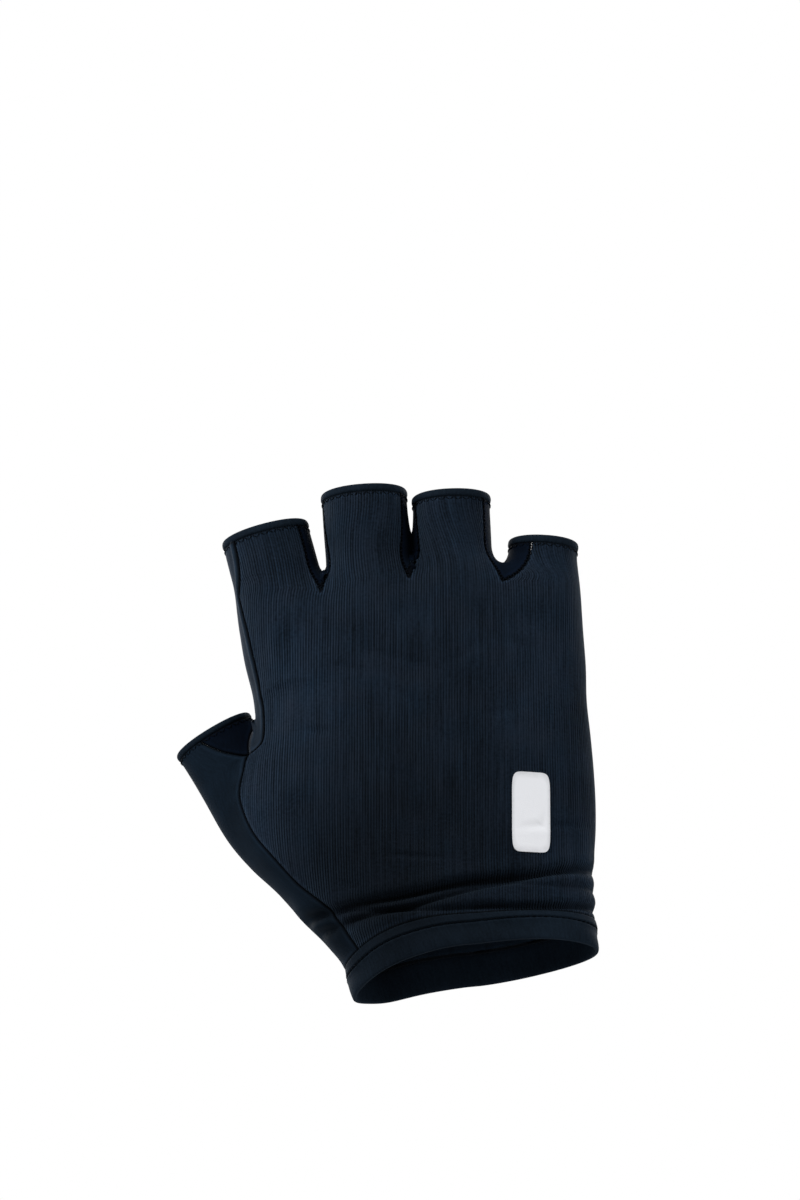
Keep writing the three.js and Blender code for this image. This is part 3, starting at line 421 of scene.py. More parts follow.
def cast_on_form(across, up, from_palm):
    """Where a line along Y through (across, up) first meets the form.

    It is found by equal steps from outside, then by halving the last step.
    """
    across, up = np.broadcast_arrays(np.asarray(across, float), np.asarray(up, float))
    direction = -1.0 if from_palm else 1.0

    def at(distance):
        depth = direction * (distance - WRIST_DEPTH)
        return np.stack([across + 0 * distance, depth, up + 0 * distance], axis=-1)

    step, steps, halvings = 0.5, 80, 12
    outside = np.zeros(across.shape)
    for _ in range(steps):
        outside = np.where(hand_form(at(outside + step)) > 0, outside + step, outside)
    inside = outside + step
    for _ in range(halvings):
        half = (outside + inside) / 2
        is_out = hand_form(at(half)) > 0
        outside = np.where(is_out, half, outside)
        inside = np.where(is_out, inside, half)
    return at(outside)


def turned(limb, start, stop, turn, share):
    """Points round a limb between two places. Both ends are met exactly."""
    share = np.asarray(share, float)
    along, angle = limb.place(start)
    stop_along = limb.place(stop)[0]
    point = limb.point(mix(along, stop_along, share), angle + turn * share)
    start_miss = start - limb.point(along, angle)
    stop_miss = stop - limb.point(stop_along, angle + turn)
    return point + start_miss * ((1 - share) ** 3)[..., None] + stop_miss * (share**3)[..., None]


def around(limb, start, stop, share):
    """Round a limb with angles growing."""
    turn = limb.place(stop)[1] - limb.place(start)[1]
    return turned(limb, start, stop, np.where(turn < 0, turn + 360, turn), share)


def nearer_way(limb, start, stop, share):
    """Round a limb by the shorter way."""
    turn = limb.place(stop)[1] - limb.place(start)[1]
    return turned(limb, start, stop, turn - 360 * np.round(turn / 360), share)


def wrist_edge(angle):
    """Height of the wrist opening's edge: width * (slope * sin + rise * cos^2)."""
    turn = np.radians(angle)
    facing = np.cos(turn)
    rise = np.where(facing > 0, WRIST_BACK_RISE, WRIST_PALM_RISE)
    return WRIST_WIDTH * (WRIST_SLOPE * np.sin(turn) + rise * facing**2)


def panel_foot(angle):
    """Height at which the panels start, above the wrist hem."""
    return wrist_edge(angle) + WRIST_HEM_HEIGHT


def row_height(row, foot, crotch, top):
    """Height of a pattern row. Rows lie closer together near the wrist."""
    low = mix(foot, crotch, np.clip(row / THUMB_CROTCH_ROW, 0, 1) ** 1.15)
    high = mix(crotch, top, (row - THUMB_CROTCH_ROW) / (PALM_ROWS - THUMB_CROTCH_ROW))
    return np.where(row <= THUMB_CROTCH_ROW, low, high)


class Guide:
    """A line up a panel, as heights and angles on the palm limb for each row."""

    def __init__(self, up, angle, settle=None):
        self.up = up
        self.angle = angle
        self.settle = settle

    def point(self, row):
        row = np.asarray(row, float)
        point = palm.point(self.up(row), self.angle(row))
        return self.settle(point, row) if self.settle else point


back_edge_curve = curve_through(BACK_EDGE[:, 0], BACK_EDGE[:, 1])
thenar_edge_curve = curve_through(THENAR_EDGE[:, 0], THENAR_EDGE[:, 1])
CROTCH_LINE = THUMB_CROTCH_BACK_UP * PALM_LENGTH


def edge_guide(curve, on_palm, crotch_up, top_up, settle):
    """A guide along an edge that is drawn in the front view."""

    def angle_at(up):
        return palm.angle_at(up, curve(up / PALM_LENGTH) * PALM_WIDTH, on_palm)

    foot = WRIST_HEM_HEIGHT
    for _ in range(8):
        foot = panel_foot(angle_at(foot))

    def up_at(row):
        return row_height(row, foot, crotch_up, top_up)

    return Guide(up_at, lambda row: angle_at(up_at(row)), settle)


def angle_guide(angle, top_up):
    """A guide whose angle on the palm limb is given for each row."""

    def up_at(row):
        return row_height(row, panel_foot(angle(row)), CROTCH_LINE, top_up)

    return Guide(up_at, angle)


def crotch_places(side):
    """(up, angle) on the palm limb of each finger crotch, on the back or the palm side."""
    on_palm = side == 2
    return [
        (c[side] * PALM_LENGTH,
         float(palm.angle_at(c[side] * PALM_LENGTH, c[0] * PALM_WIDTH, on_palm)))
        for c in CROTCHES
    ]


back_crotches = crotch_places(1)
palm_crotches = crotch_places(2)


def spread_guide(edge, crotch):
    """A guide to a crotch that keeps its share of the way from the side seam to an edge."""
    up, crotch_angle = crotch
    top = edge.angle(np.array(float(PALM_ROWS)))
    foot = edge.angle(np.array(0.0))
    share = (crotch_angle - SIDE_SEAM_ANGLE) / (top - SIDE_SEAM_ANGLE)
    return angle_guide(
        lambda row: mix(SIDE_SEAM_ANGLE, mix(foot, top, row / PALM_ROWS), share), up
    )


def side_seam_angle(row):
    """The same angle in every row."""
    return SIDE_SEAM_ANGLE + 0 * row


back_edge = edge_guide(
    back_edge_curve, False, CROTCH_LINE, back_crotches[0][0], lambda point, row: on_form(point)
)
side_seam = angle_guide(side_seam_angle, back_crotches[2][0])
back_guides = [back_edge, *(spread_guide(back_edge, c) for c in back_crotches), side_seam]

thenar_edge = edge_guide(
    thenar_edge_curve, True, THUMB_CROTCH_PALM_UP * PALM_LENGTH, back_crotches[0][0], None
)
THENAR_TOP_ANGLE = float(thenar_edge.angle(np.array(float(THUMB_CROTCH_ROW))))


def palm_edge_angle(row):
    """The thumb seam's angle, then half way up to the fingers it has turned to the wrap's edge."""
    share = (row - THUMB_CROTCH_ROW) / (PALM_ROWS - THUMB_CROTCH_ROW)
    above = mix(THENAR_TOP_ANGLE, WRAP_ANGLE, np.clip(share * 2, 0, 1))
    return np.where(row > THUMB_CROTCH_ROW, above, thenar_edge.angle(row))


def settle_palm_edge(point, row):
    """Cast on from the palm below the thumb's crotch, settled on the form above it."""
    cast = cast_on_form(point[..., 0], point[..., 2], True)
    return np.where((row > THUMB_CROTCH_ROW)[..., None], on_form(point), cast)


palm_edge = Guide(thenar_edge.up, palm_edge_angle, settle_palm_edge)
palm_guides = [
    side_seam,
    *(spread_guide(palm_edge, c) for c in reversed(palm_crotches)),
    palm_edge,
]


def palm_patch(guides, guide, rows, shares):
    """The part of a panel below the crotches, between two guides. Its foot follows the hem."""
    first, second = guides[guide], guides[guide + 1]
    zero = np.array(0.0)
    row = rows[:, None]
    foot_angle = mix(first.angle(zero), second.angle(zero), shares)[None]
    bend = panel_foot(foot_angle) - mix(first.up(zero), second.up(zero), shares)[None]

    def between(row):
        start = first.point(row[:, 0])[:, None]
        stop = second.point(row[:, 0])[:, None]
        point = around(palm, start, stop, shares[None] + 0 * row)
        point[..., 2] += bend * np.maximum(1 - row / THUMB_CROTCH_ROW, 0)
        return point

    miss = palm.point(panel_foot(foot_angle), foot_angle) - between(np.zeros((1, 1)))
    return between(row) + miss * np.clip(1 - row, 0, 1)[..., None]


def finger_seam(i, base, angle, share):
    """A seam up a finger, from base on the palm limb to an angle at the opening."""
    top = fingers[i].point(-FINGER_HEM_HEIGHT, angle)
    climb = top[..., 2] - base[..., 2]
    low = base + np.stack([0 * climb, 0 * climb, climb], axis=-1) * share[..., None]
    high = fingers[i].point(-FINGER_HEM_HEIGHT - (1 - share) * climb, angle)
    return mix(low, high, (1 - (1 - share) ** FINGERS[i]["sweep"])[..., None])


def tab_patch(i, start, stop, from_angle, to_angle, heights, shares):
    """The part of a panel on a finger, between two seams that start at start and stop."""
    height = heights[:, None]
    left = finger_seam(i, start, from_angle, height)
    right = finger_seam(i, stop, to_angle, height)
    share = shares[None] + 0 * height
    flat = around(palm, left, right, share)
    rounded = around(fingers[i], left, right, share)
    return mix(flat, rounded, (height * (2 - height))[..., None])


TOP_ROW = np.array(float(PALM_ROWS))


def panel_tab(i, guides, guide, from_angle, to_angle, heights, shares):
    """The tab of a panel on finger i, above the palm patch between two guides."""
    start = guides[guide].point(TOP_ROW)
    stop = guides[guide + 1].point(TOP_ROW)
    return tab_patch(i, start, stop, from_angle, to_angle, heights, shares)


def web_line(crotch, share):
    """The straight line through a finger crotch, from the back to the palm."""
    back = palm.point(*back_crotches[crotch])
    front = palm.point(*palm_crotches[crotch])
    return mix(back, front, share[..., None])


def fourchette_patch(i, crotch, back_angle, palm_angle, heights, shares):
    """One finger's side of a fourchette: seams up the finger from each point of the web line."""
    share = shares[None] + 0 * heights[:, None]
    base = web_line(crotch, share)
    angle = mix(back_angle, palm_angle, share)
    return finger_seam(i, base, angle, heights[:, None] + 0 * share)


CROTCH_ROW = np.array(float(THUMB_CROTCH_ROW))
thumb_crotch_back = back_edge.point(CROTCH_ROW)
thumb_crotch_palm = palm_edge.point(CROTCH_ROW)


def thumb_crotch_line(share):
    """From the palm end to the back end of the thumb crotch, raised by 4 s (1 - s)."""
    hump = 4 * share * (1 - share)
    point = mix(thumb_crotch_palm, thumb_crotch_back, share[..., None])
    point[..., 0] -= hump * THUMB_CROTCH_SHIFT * PALM_WIDTH
    point[..., 2] += hump * THUMB_CROTCH_RISE * PALM_LENGTH
    return point


def wrap_patch(rows, shares):
    """The palm panel's wrap over the forefinger side, from the thumb crotch to the fingers."""
    row = rows[:, None]
    start = palm_edge.point(rows + THUMB_CROTCH_ROW)[:, None]
    stop = back_edge.point(rows + THUMB_CROTCH_ROW)[:, None]
    share = shares[None] + 0 * row
    count = PALM_ROWS - THUMB_CROTCH_ROW
    line = thumb_crotch_line(shares)[None]
    straight = mix(thumb_crotch_palm, thumb_crotch_back, shares[:, None])[None]
    point = around(palm, start, stop, share)
    fade = 1 - row / count
    point[..., 2] += (line - straight)[..., 2] * fade
    first = around(palm, thumb_crotch_palm, thumb_crotch_back, shares)[None]
    first = first + (line - straight) * (0, 0, 1)
    return point + (line - first) * np.clip(1 - row, 0, 1)[..., None]


def thumb_seam(start, top_angle, share):
    """A web seam up the thumb, from a crotch end to an angle at the opening."""
    along, angle = thumb.place(start)
    if top_angle > 180 and angle < 0:
        angle = angle + 360
    point = thumb.point(mix(along, -THUMB_HEM_HEIGHT, share**1.6), mix(angle, top_angle, share))
    miss = start - thumb.point(along, angle)
    return point + miss * ((1 - share) ** 2)[..., None]


def thumb_patch(rows, shares):
    """The thumb panel: round the thumb between the palm seam and the back seam."""
    low = np.minimum(rows, THUMB_CROTCH_ROW)
    web = np.clip((rows - THUMB_CROTCH_ROW) / WEB_ROWS, 0, 1)
    above = (rows > THUMB_CROTCH_ROW)[:, None]
    start = np.where(
        above, thumb_seam(thumb_crotch_palm, THUMB_SEAM_PALM, web), palm_edge.point(low)
    )[:, None]
    stop = np.where(
        above, thumb_seam(thumb_crotch_back, THUMB_SEAM_BACK, web), back_edge.point(low)
    )[:, None]
    row = rows[:, None]
    share = shares[None] + 0 * row
    point = around(thumb, start, stop, share)
    zero = np.array(0.0)
    foot_angle = mix(palm_edge.angle(zero), back_edge.angle(zero) + 360, shares)
    foot = palm.point(panel_foot(foot_angle), foot_angle)
    first = around(thumb, palm_edge.point(zero), back_edge.point(zero), shares)
    return point + (foot - first)[None] * np.clip(1 - row, 0, 1)[..., None]


def web_foot(column):
    """The web panel's lower edge: back seam, crotch line, palm seam."""
    back = thumb_seam(thumb_crotch_back, THUMB_SEAM_BACK, np.clip(1 - column / WEB_ROWS, 0, 1))
    line = thumb_crotch_line(np.clip(2 - column / WEB_ROWS, 0, 1))
    front = thumb_seam(thumb_crotch_palm, THUMB_SEAM_PALM, np.clip(column / WEB_ROWS - 2, 0, 1))
    low, high = (column < WEB_ROWS)[:, None], (column > 2 * WEB_ROWS)[:, None]
    return np.where(low, back, np.where(high, front, line))


def web_patch(heights, columns):
    """A fan from the web's foot to the thumb's opening."""
    foot = web_foot(columns)
    angle = mix(THUMB_SEAM_BACK, THUMB_SEAM_PALM, columns / (3 * WEB_ROWS))
    top = thumb.point(-THUMB_HEM_HEIGHT, angle)
    return nearer_way(thumb, foot[None], top[None], heights[:, None] + 0 * columns[None])


# Distances from a seam, in millimetres, at which the fine grids have a line
SEAM_LINES = np.array([0, 0.25, 0.5, 0.8, 1.1, 1.45, 1.8, 2.2, 2.8, 3.6])


def seam_shares(width, step=1.0, first=True, last=True):
    """Shares across a width, close together beside the seams at its ends."""
    low = SEAM_LINES if first else np.array([0.0])
    high = SEAM_LINES if last else np.array([0.0])
    count = max(int((width - low[-1] - high[-1]) / step), 1)
    middle = np.linspace(low[-1], width - high[-1], count + 1)[1:-1]
    return np.concatenate([low, middle, (width - high)[::-1]]) / width


class Patchwork:
    """Grids of points welded into one surface, with a UV pair in millimetres for each point."""

    def __init__(self):
        self.points = []
        self.uvs = []
        self.quads = []
        self.at_hem = []
        self.count = 0

    def add(self, points, u, v, hem_row=None):
        """hem_row is the row of the grid that goes under a hem."""
        rows, columns = points.shape[:2]
        ids = self.count + np.arange(rows * columns).reshape(rows, columns)
        corners = np.stack([ids[:-1, :-1], ids[:-1, 1:], ids[1:, 1:], ids[1:, :-1]], axis=-1)
        self.points.append(points.reshape(-1, 3))
        uv = np.stack(np.broadcast_arrays(u, v), axis=-1)
        self.uvs.append(np.broadcast_to(uv, (rows, columns, 2)).reshape(-1, 2))
        self.quads.append(corners.reshape(-1, 4))
        at_hem = np.zeros((rows, columns), bool)
        if hem_row is not None:
            at_hem[hem_row] = True
        self.at_hem.append(at_hem.ravel())
        self.count += rows * columns

    def weld(self):
        """One vertex for all points that share a place, settled on the form, quads turned out."""
        rough = np.concatenate(self.points)
        key = np.round(rough * 1000).astype(np.int64)
        _, first, inverse = np.unique(key, axis=0, return_index=True, return_inverse=True)
        inverse = inverse.reshape(-1)
        points = on_form(rough[first])
        uvs = np.concatenate(self.uvs)
        faces, corner_uvs = [], []
        for quads in self.quads:
            ids = inverse[quads]
            corner = uvs[quads]
            diagonal = points[ids[:, 2]] - points[ids[:, 0]]
            other = points[ids[:, 3]] - points[ids[:, 1]]
            normal = np.cross(diagonal, other)
            if (normal * normal_of(points[ids[:, 0]])).sum() < 0:
                ids, corner = ids[:, ::-1], corner[:, ::-1]
            faces.append(ids)
            corner_uvs.append(corner)
        at_hem = np.zeros(len(points), bool)
        np.logical_or.at(at_hem, inverse, np.concatenate(self.at_hem))
        return points, np.concatenate(faces), np.concatenate(corner_uvs), at_hem


def free_edges(faces):
    """Directed edges that only one face uses."""
    loops = np.stack([faces, np.roll(faces, -1, axis=1)], axis=-1).reshape(-1, 2)
    loops = loops[loops[:, 0] != loops[:, 1]]
    key = np.sort(loops, axis=1)
    _, inverse, uses = np.unique(key, axis=0, return_inverse=True, return_counts=True)
    return loops[uses[inverse.reshape(-1)] == 1]


def edge_steps(points, edges, normals):
    """Sum of the unit steps into the piece from the edges at each point, mitred at corners."""
    direction = points[edges[:, 1]] - points[edges[:, 0]]
    direction /= np.linalg.norm(direction, axis=1, keepdims=True) + 1e-12
    total = np.zeros_like(points)
    uses = np.zeros(len(points))
    for end in (0, 1):
        step = np.cross(normals[edges[:, end]], direction)
        step /= np.linalg.norm(step, axis=1, keepdims=True) + 1e-12
        np.add.at(total, edges[:, end], step)
        np.add.at(uses, edges[:, end], 1)
    squareness = np.maximum((total**2).sum(1) / np.maximum(uses, 1), 0.3)
    return total / squareness[:, None]


def distance_to(edges, points):
    """Least distance of each point to the free edge's segments."""
    start = points[edges[:, 0]]
    run = points[edges[:, 1]] - start
    square = (run**2).sum(1) + 1e-12
    least = np.empty(len(points))
    batch = 1500
    for first in range(0, len(points), batch):
        part = slice(first, first + batch)
        away = points[part][:, None] - start[None]
        share = np.clip((away * run).sum(-1) / square, 0, 1)
        away -= share[..., None] * run
        least[part] = np.sqrt((away**2).sum(-1).min(1))
    return least


def rounded_down(distance, radius):
    """Quarter circle: drop = r - sqrt(r^2 - (r - d)^2) within r of the edge."""
    inside = np.clip(radius - distance, 0, radius)
    return radius - np.sqrt(np.maximum(radius**2 - inside**2, 0))


def value_noise(point, size, seed):
    """Smooth noise from -1 to 1: seeded random values on a lattice, eased between its points."""
    rng = np.random.default_rng(seed)
    cells = 32
    lattice = rng.uniform(-1, 1, (cells, cells, cells))
    scaled = point / size
    cell = np.floor(scaled).astype(int)
    part = scaled - cell
    part = part * part * (3 - 2 * part)
    total = 0
    for corner in np.ndindex(2, 2, 2):
        index = (cell + corner) % cells
        weight = np.prod(np.where(np.array(corner) == 1, part, 1 - part), axis=-1)
        total = total + weight * lattice[index[..., 0], index[..., 1], index[..., 2]]
    return total


# Faint creases in the cloth of the back: across and up of the two ends as shares of the palm's
# width and length, half width and depth in millimetres
CREASES = (
    (-0.36, 0.80, -0.12, 0.74, 1.7, 0.4),
    (-0.12, 0.74, 0.03, 0.83, 1.9, 0.34),
    (0.03, 0.83, 0.2, 0.80, 1.9, 0.3),
    (-0.3, 0.71, -0.14, 0.64, 1.4, 0.36),
    (-0.22, 0.63, -0.08, 0.56, 1.3, 0.32),
    (-0.44, 0.76, -0.3, 0.73, 1.7, 0.3),
    (-0.02, 0.62, 0.16, 0.66, 1.7, 0.24),
    (-0.36, 0.50, -0.2, 0.47, 1.5, 0.24),
    (-0.3, 0.275, -0.08, 0.262, 1.3, 0.42),
    (-0.42, 0.22, -0.3, 0.17, 1.3, 0.35),
    (0.1, 0.345, 0.36, 0.37, 1.5, 0.4),
    (-0.42, 0.585, -0.52, 0.6, 1.6, 0.5),
)


def crease_depth(point):
    """A valley along each crease with low ridges beside it: (1 - 1.2 a^2) exp(-a^2)."""
    total = np.zeros(point.shape[:-1])
    flat = point[..., (0, 2)]
    scale = np.array((PALM_WIDTH, PALM_LENGTH))
    for x0, z0, x1, z1, width, depth in CREASES:
        start = np.array((x0, z0)) * scale
        run = np.array((x1, z1)) * scale - start
        share = np.clip(((flat - start) @ run) / (run @ run), 0, 1)
        away = np.linalg.norm(flat - start - share[..., None] * run, axis=-1) / width
        fade = np.sin(np.pi * np.clip(share, 0.05, 0.95))
        total += depth * fade * (1 - 1.2 * away**2) * np.exp(-(away**2))
    return total * np.clip(-point[..., 1] / 4, 0, 1)


def fold_lines(point):
    """For each wrist fold: the distance from its line in fold widths, and its strength there."""
    on_back = np.clip(0.6 - point[..., 1] / (WRIST_DEPTH / 4), 0, 1)
    for start, stop, left, right, depth, width in FOLDS:
        share = np.clip((point[..., 0] / PALM_WIDTH - left) / (right - left), 0, 1)
        waver = 0.35 * np.sin(point[..., 0] / 5.1 + 9 * stop)
        height = mix(start, stop, share) * PALM_LENGTH + waver
        away = (point[..., 2] - height) / (width * FOLD_HALF_WIDTH)
        fade = np.sqrt(np.maximum(np.sin(np.pi * np.clip(share, 0.02, 0.93) ** 0.6), 0))
        yield away, np.sqrt(depth) * fade * on_back


def fold_ridges(point):
    """Ridges above and below each wrist fold, a^2 exp(-a^2), less a sharp crease along it."""
    total = np.zeros(point.shape[:-1])
    for away, strength in fold_lines(point):
        ridge = 2.0 * away**2 * np.exp(-(away**2))
        crease = 2.0 * np.exp(-np.abs(away / 0.34) ** 1.5)
        total += strength * (ridge - crease)
    return total


# Painted light and shade on the knit of the back, as a factor on its colour: across and up of the
# middle as shares of the palm's width and length, half widths of the same, and by how much it is
# painted lighter (painted light) or darker (painted shade)
PAINTED_LIGHT_AND_SHADE = (
    (-0.22, 0.27, 0.32, 0.26, -0.5),
    (-0.3, 0.12, 0.2, 0.1, -0.25),
    (-0.56, 0.78, 0.17, 0.22, 0.5),
    (-0.62, 0.44, 0.1, 0.14, 0.45),
    (0.2, 0.85, 0.14, 0.3, 0.35),
    (0.25, 0.2, 0.12, 0.2, 0.2),
)


def painted_light_and_shade_of(point):
    """Factor for the cloth's colour: painted light and shade in the bells of the table above,
    times painted shade in the folds' creases.
    """
    flat = point[..., (0, 2)] / (PALM_WIDTH, PALM_LENGTH)
    painted_shading = np.ones(point.shape[:-1])
    on_back = np.clip(-point[..., 1] / 5, 0, 1)
    for x, z, wide, high, change in PAINTED_LIGHT_AND_SHADE:
        away = ((flat - (x, z)) / (wide, high)) ** 2
        painted_shading += change * on_back * np.exp(-away.sum(-1))
    # Painted shade: the colour is darkened along the wrist folds' creases.
    crease = np.zeros(point.shape[:-1])
    for away, strength in fold_lines(point):
        crease = np.maximum(crease, strength * np.exp(-((away / 0.55) ** 2)))
    return painted_shading * (1 - 0.75 * np.clip(crease, 0, 1))


def cloth_relief(point):
    """Soft unevenness of worn cloth, outwards positive."""
    broad = 0.16 * value_noise(point * (1, 1, 0.6), 11.0, 3)
    wrist = np.clip((0.3 * PALM_LENGTH - point[..., 2]) / (0.12 * PALM_LENGTH), 0, 1)
    bunched = 0.28 * wrist * value_noise(point * (0.35, 0.35, 1.0), 4.0, 8)
    return broad + bunched + fold_ridges(point) - crease_depth(point)


def put_mesh(name, points, faces, uvs, attributes=None):
    """A mesh object at the origin from points in millimetres, with its UV map and attributes.

    faces are quads, with one UV pair a corner. A quad with a doubled corner becomes a triangle.
    """
    points, faces = np.asarray(points), np.asarray(faces)
    keep = faces != np.roll(faces, -1, axis=1)
    whole = keep.sum(axis=1) >= 3
    faces, keep, uvs = faces[whole], keep[whole], uvs.reshape(-1, 4, 2)[whole]
    sides = keep.sum(axis=1)
    mesh = bpy.data.meshes.new(name)
    mesh.vertices.add(len(points))
    mesh.vertices.foreach_set("co", (points * MM).astype(np.float32).ravel())
    mesh.loops.add(int(sides.sum()))
    mesh.loops.foreach_set("vertex_index", faces[keep].astype(np.int32))
    mesh.polygons.add(len(faces))
    starts = np.concatenate([[0], np.cumsum(sides)[:-1]])
    mesh.polygons.foreach_set("loop_start", starts.astype(np.int32))
    layer = mesh.uv_layers.new(name="cloth")
    layer.data.foreach_set("uv", (uvs[keep] / UV_SPAN).astype(np.float32).ravel())
    for key, values in (attributes or {}).items():
        mesh.attributes.new(key, "FLOAT", "POINT").data.foreach_set(
            "value", np.asarray(values, np.float32)
        )
    mesh.update(calc_edges=True)
    mesh.validate()
    mesh.shade_smooth()
    piece = bpy.data.objects.new(name, mesh)
    bpy.context.scene.collection.objects.link(piece)
    return piece


def dress(piece, material, slot, *nodes):
    """Gives a piece its material and body, and hides the nodes that it replaces. slot is not used.
    """
    piece.data.materials.append(material)
    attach(piece, "root")
    if nodes:
        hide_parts(*nodes)


# Sizes of the fine grids, in millimetres
ROW_STEP = 0.45  # height of a panel's cells
CLOTH_STEP = 0.9  # width of a panel's cells and height of a finger tab's
WEB_STEP = 0.7  # both of the thumb web's cells
PANEL_HEIGHT = 95  # from the wrist hem to the fingers
TAB_HEIGHT = 22  # of a panel's part on a finger
WRAP_WIDTH = 21  # of the palm panel's part on the forefinger side
THUMB_SPAN = 56  # round the thumb panel
WEB_SIDE = 14  # up the thumb at each side of the web
WEB_CROTCH = 20  # of the web along the thumb crotch
WEB_HEIGHT = 13
FOURCHETTE_WIDTH = 14
NARROW_ROUND = 0.7  # seam rounding of the narrow insets, a share of the panels'

HEM_TUCK = 0.7  # a panel goes this far under a hem
SEAM_ALLOWANCE = 1.5  # and its flat cut this far past a seam


def cloth_surface(patchwork, radius, extra=None):
    """Welded points with their relief.

    Seam edges are rounded down and the edges at a hem go under it. extra is a further lift,
    given the points and their distance to a seam.
    """
    points, faces, uvs, at_hem = patchwork.weld()
    edges = free_edges(faces)
    normals = normal_of(points)
    under_hem = at_hem[edges].all(axis=1)
    points = points - HEM_TUCK * edge_steps(points, edges[under_hem], normals)
    seam = distance_to(edges[~under_hem], points)
    hem = distance_to(edges[under_hem], points) if under_hem.any() else seam + 50
    lift = cloth_relief(points) * np.clip(np.minimum(seam, hem) / 3, 0, 1)
    if extra is not None:
        lift = lift + extra(points, seam)
    lift = lift - rounded_down(seam, radius) - 0.4 * np.clip(1 - hem / 1.4, 0, 1) ** 2
    cut = np.linalg.norm(np.diff(points[edges], axis=1), axis=-1).sum() * SEAM_ALLOWANCE
    area = (quad_area(points, faces) + cut) * MM * MM
    return points + normals * lift[:, None], faces, uvs, np.minimum(seam, hem - 0.5), area


def quad_area(points, faces):
    """Half the cross product of each quad's diagonals, summed."""
    a, b, c, d = (points[faces[:, i]] for i in range(4))
    return np.linalg.norm(np.cross(c - a, d - b), axis=1).sum() / 2


def add_wall(piece, wall):
    """Thickness inwards from the cloth's outer face."""
    solid = piece.modifiers.new("wall", "SOLIDIFY")
    solid.thickness = wall * MM
    solid.offset = -1


def cloth_piece(name, patchwork, wall, radius, extra=None):
    """A piece of cloth with its thickness, and the area of its flat cut in square metres."""
    points, faces, uvs, distance, area = cloth_surface(patchwork, radius, extra)
    # Second attribute: painted light and shade, a factor on the cloth's colour.
    piece = put_mesh(name, points, faces, uvs, {"seam": distance, "painted_shading": painted_light_and_shade_of(points)})
    add_wall(piece, wall)
    return piece, area


def rows_up(first, last, step, low_seam, high_seam, length):
    """Row numbers from first to last, close together beside the seams at the ends."""
    return mix(first, last, seam_shares(length, step, low_seam, high_seam))


def palm_rows():
    """The palm's rows from the wrist to the fingers, shared by the panels that meet there."""
    return rows_up(0, PALM_ROWS, ROW_STEP, True, False, PANEL_HEIGHT)


def tab_heights():
    """Shares of the height of a panel's tab, close together below the hem."""
    return seam_shares(TAB_HEIGHT, CLOTH_STEP, False, True)


def columns_of(points, row):
    """Arc length across a grid at one of its rows, in millimetres."""
    run = np.linalg.norm(np.diff(on_form(points[row]), axis=0), axis=1)
    return np.concatenate([[0], np.cumsum(run)])


def row_lengths(points):
    """Arc length along every row of a grid, in millimetres."""
    run = np.linalg.norm(np.diff(points, axis=1), axis=-1)
    return np.concatenate([np.zeros((len(points), 1)), np.cumsum(run, axis=1)], axis=1)


def panel_patchwork(guides, order, tabs):
    """Palm grids and finger tabs of one panel.

    u is the distance along the cloth from a straight line up the middle of the hand, so that
    ribs run straight up, and v is the height.
    """
    work = Patchwork()
    rows = palm_rows()
    heights = tab_heights()
    grids = []
    for guide in range(len(order)):
        shares = seam_shares(24 if guide else 22, 1.0)
        grids.append((shares, on_form(palm_patch(guides, guide, rows, shares))))
    whole = np.concatenate([points for _, points in grids], axis=1)
    length = row_lengths(whole)
    middle = np.argmin(np.abs(whole[..., 0] - MIDDLE_ACROSS * PALM_WIDTH), axis=1)
    every = np.arange(len(rows))
    past = MIDDLE_ACROSS * PALM_WIDTH - whole[every, middle, 0]
    way = np.sign(whole[every, -1, 0] - whole[every, 0, 0])
    origin = length[every, middle] + past * way
    u_all = length - origin[:, None]
    first = 0
    for guide, i in enumerate(order):
        shares, points = grids[guide]
        columns = slice(first, first + len(shares))
        u = u_all[:, columns]
        work.add(points, u, points[..., 2], hem_row=0)
        tab = on_form(panel_tab(i, guides, guide, *tabs[i], heights, shares))
        along = row_lengths(tab)
        half = len(shares) // 2
        tab_u = along - along[:, half][:, None] + u[-1, half]
        fade = np.clip(heights * 3, 0, 1)[:, None]
        work.add(tab, mix(u[-1][None], tab_u, fade), tab[..., 2], hem_row=-1)
        first += len(shares)
    return work


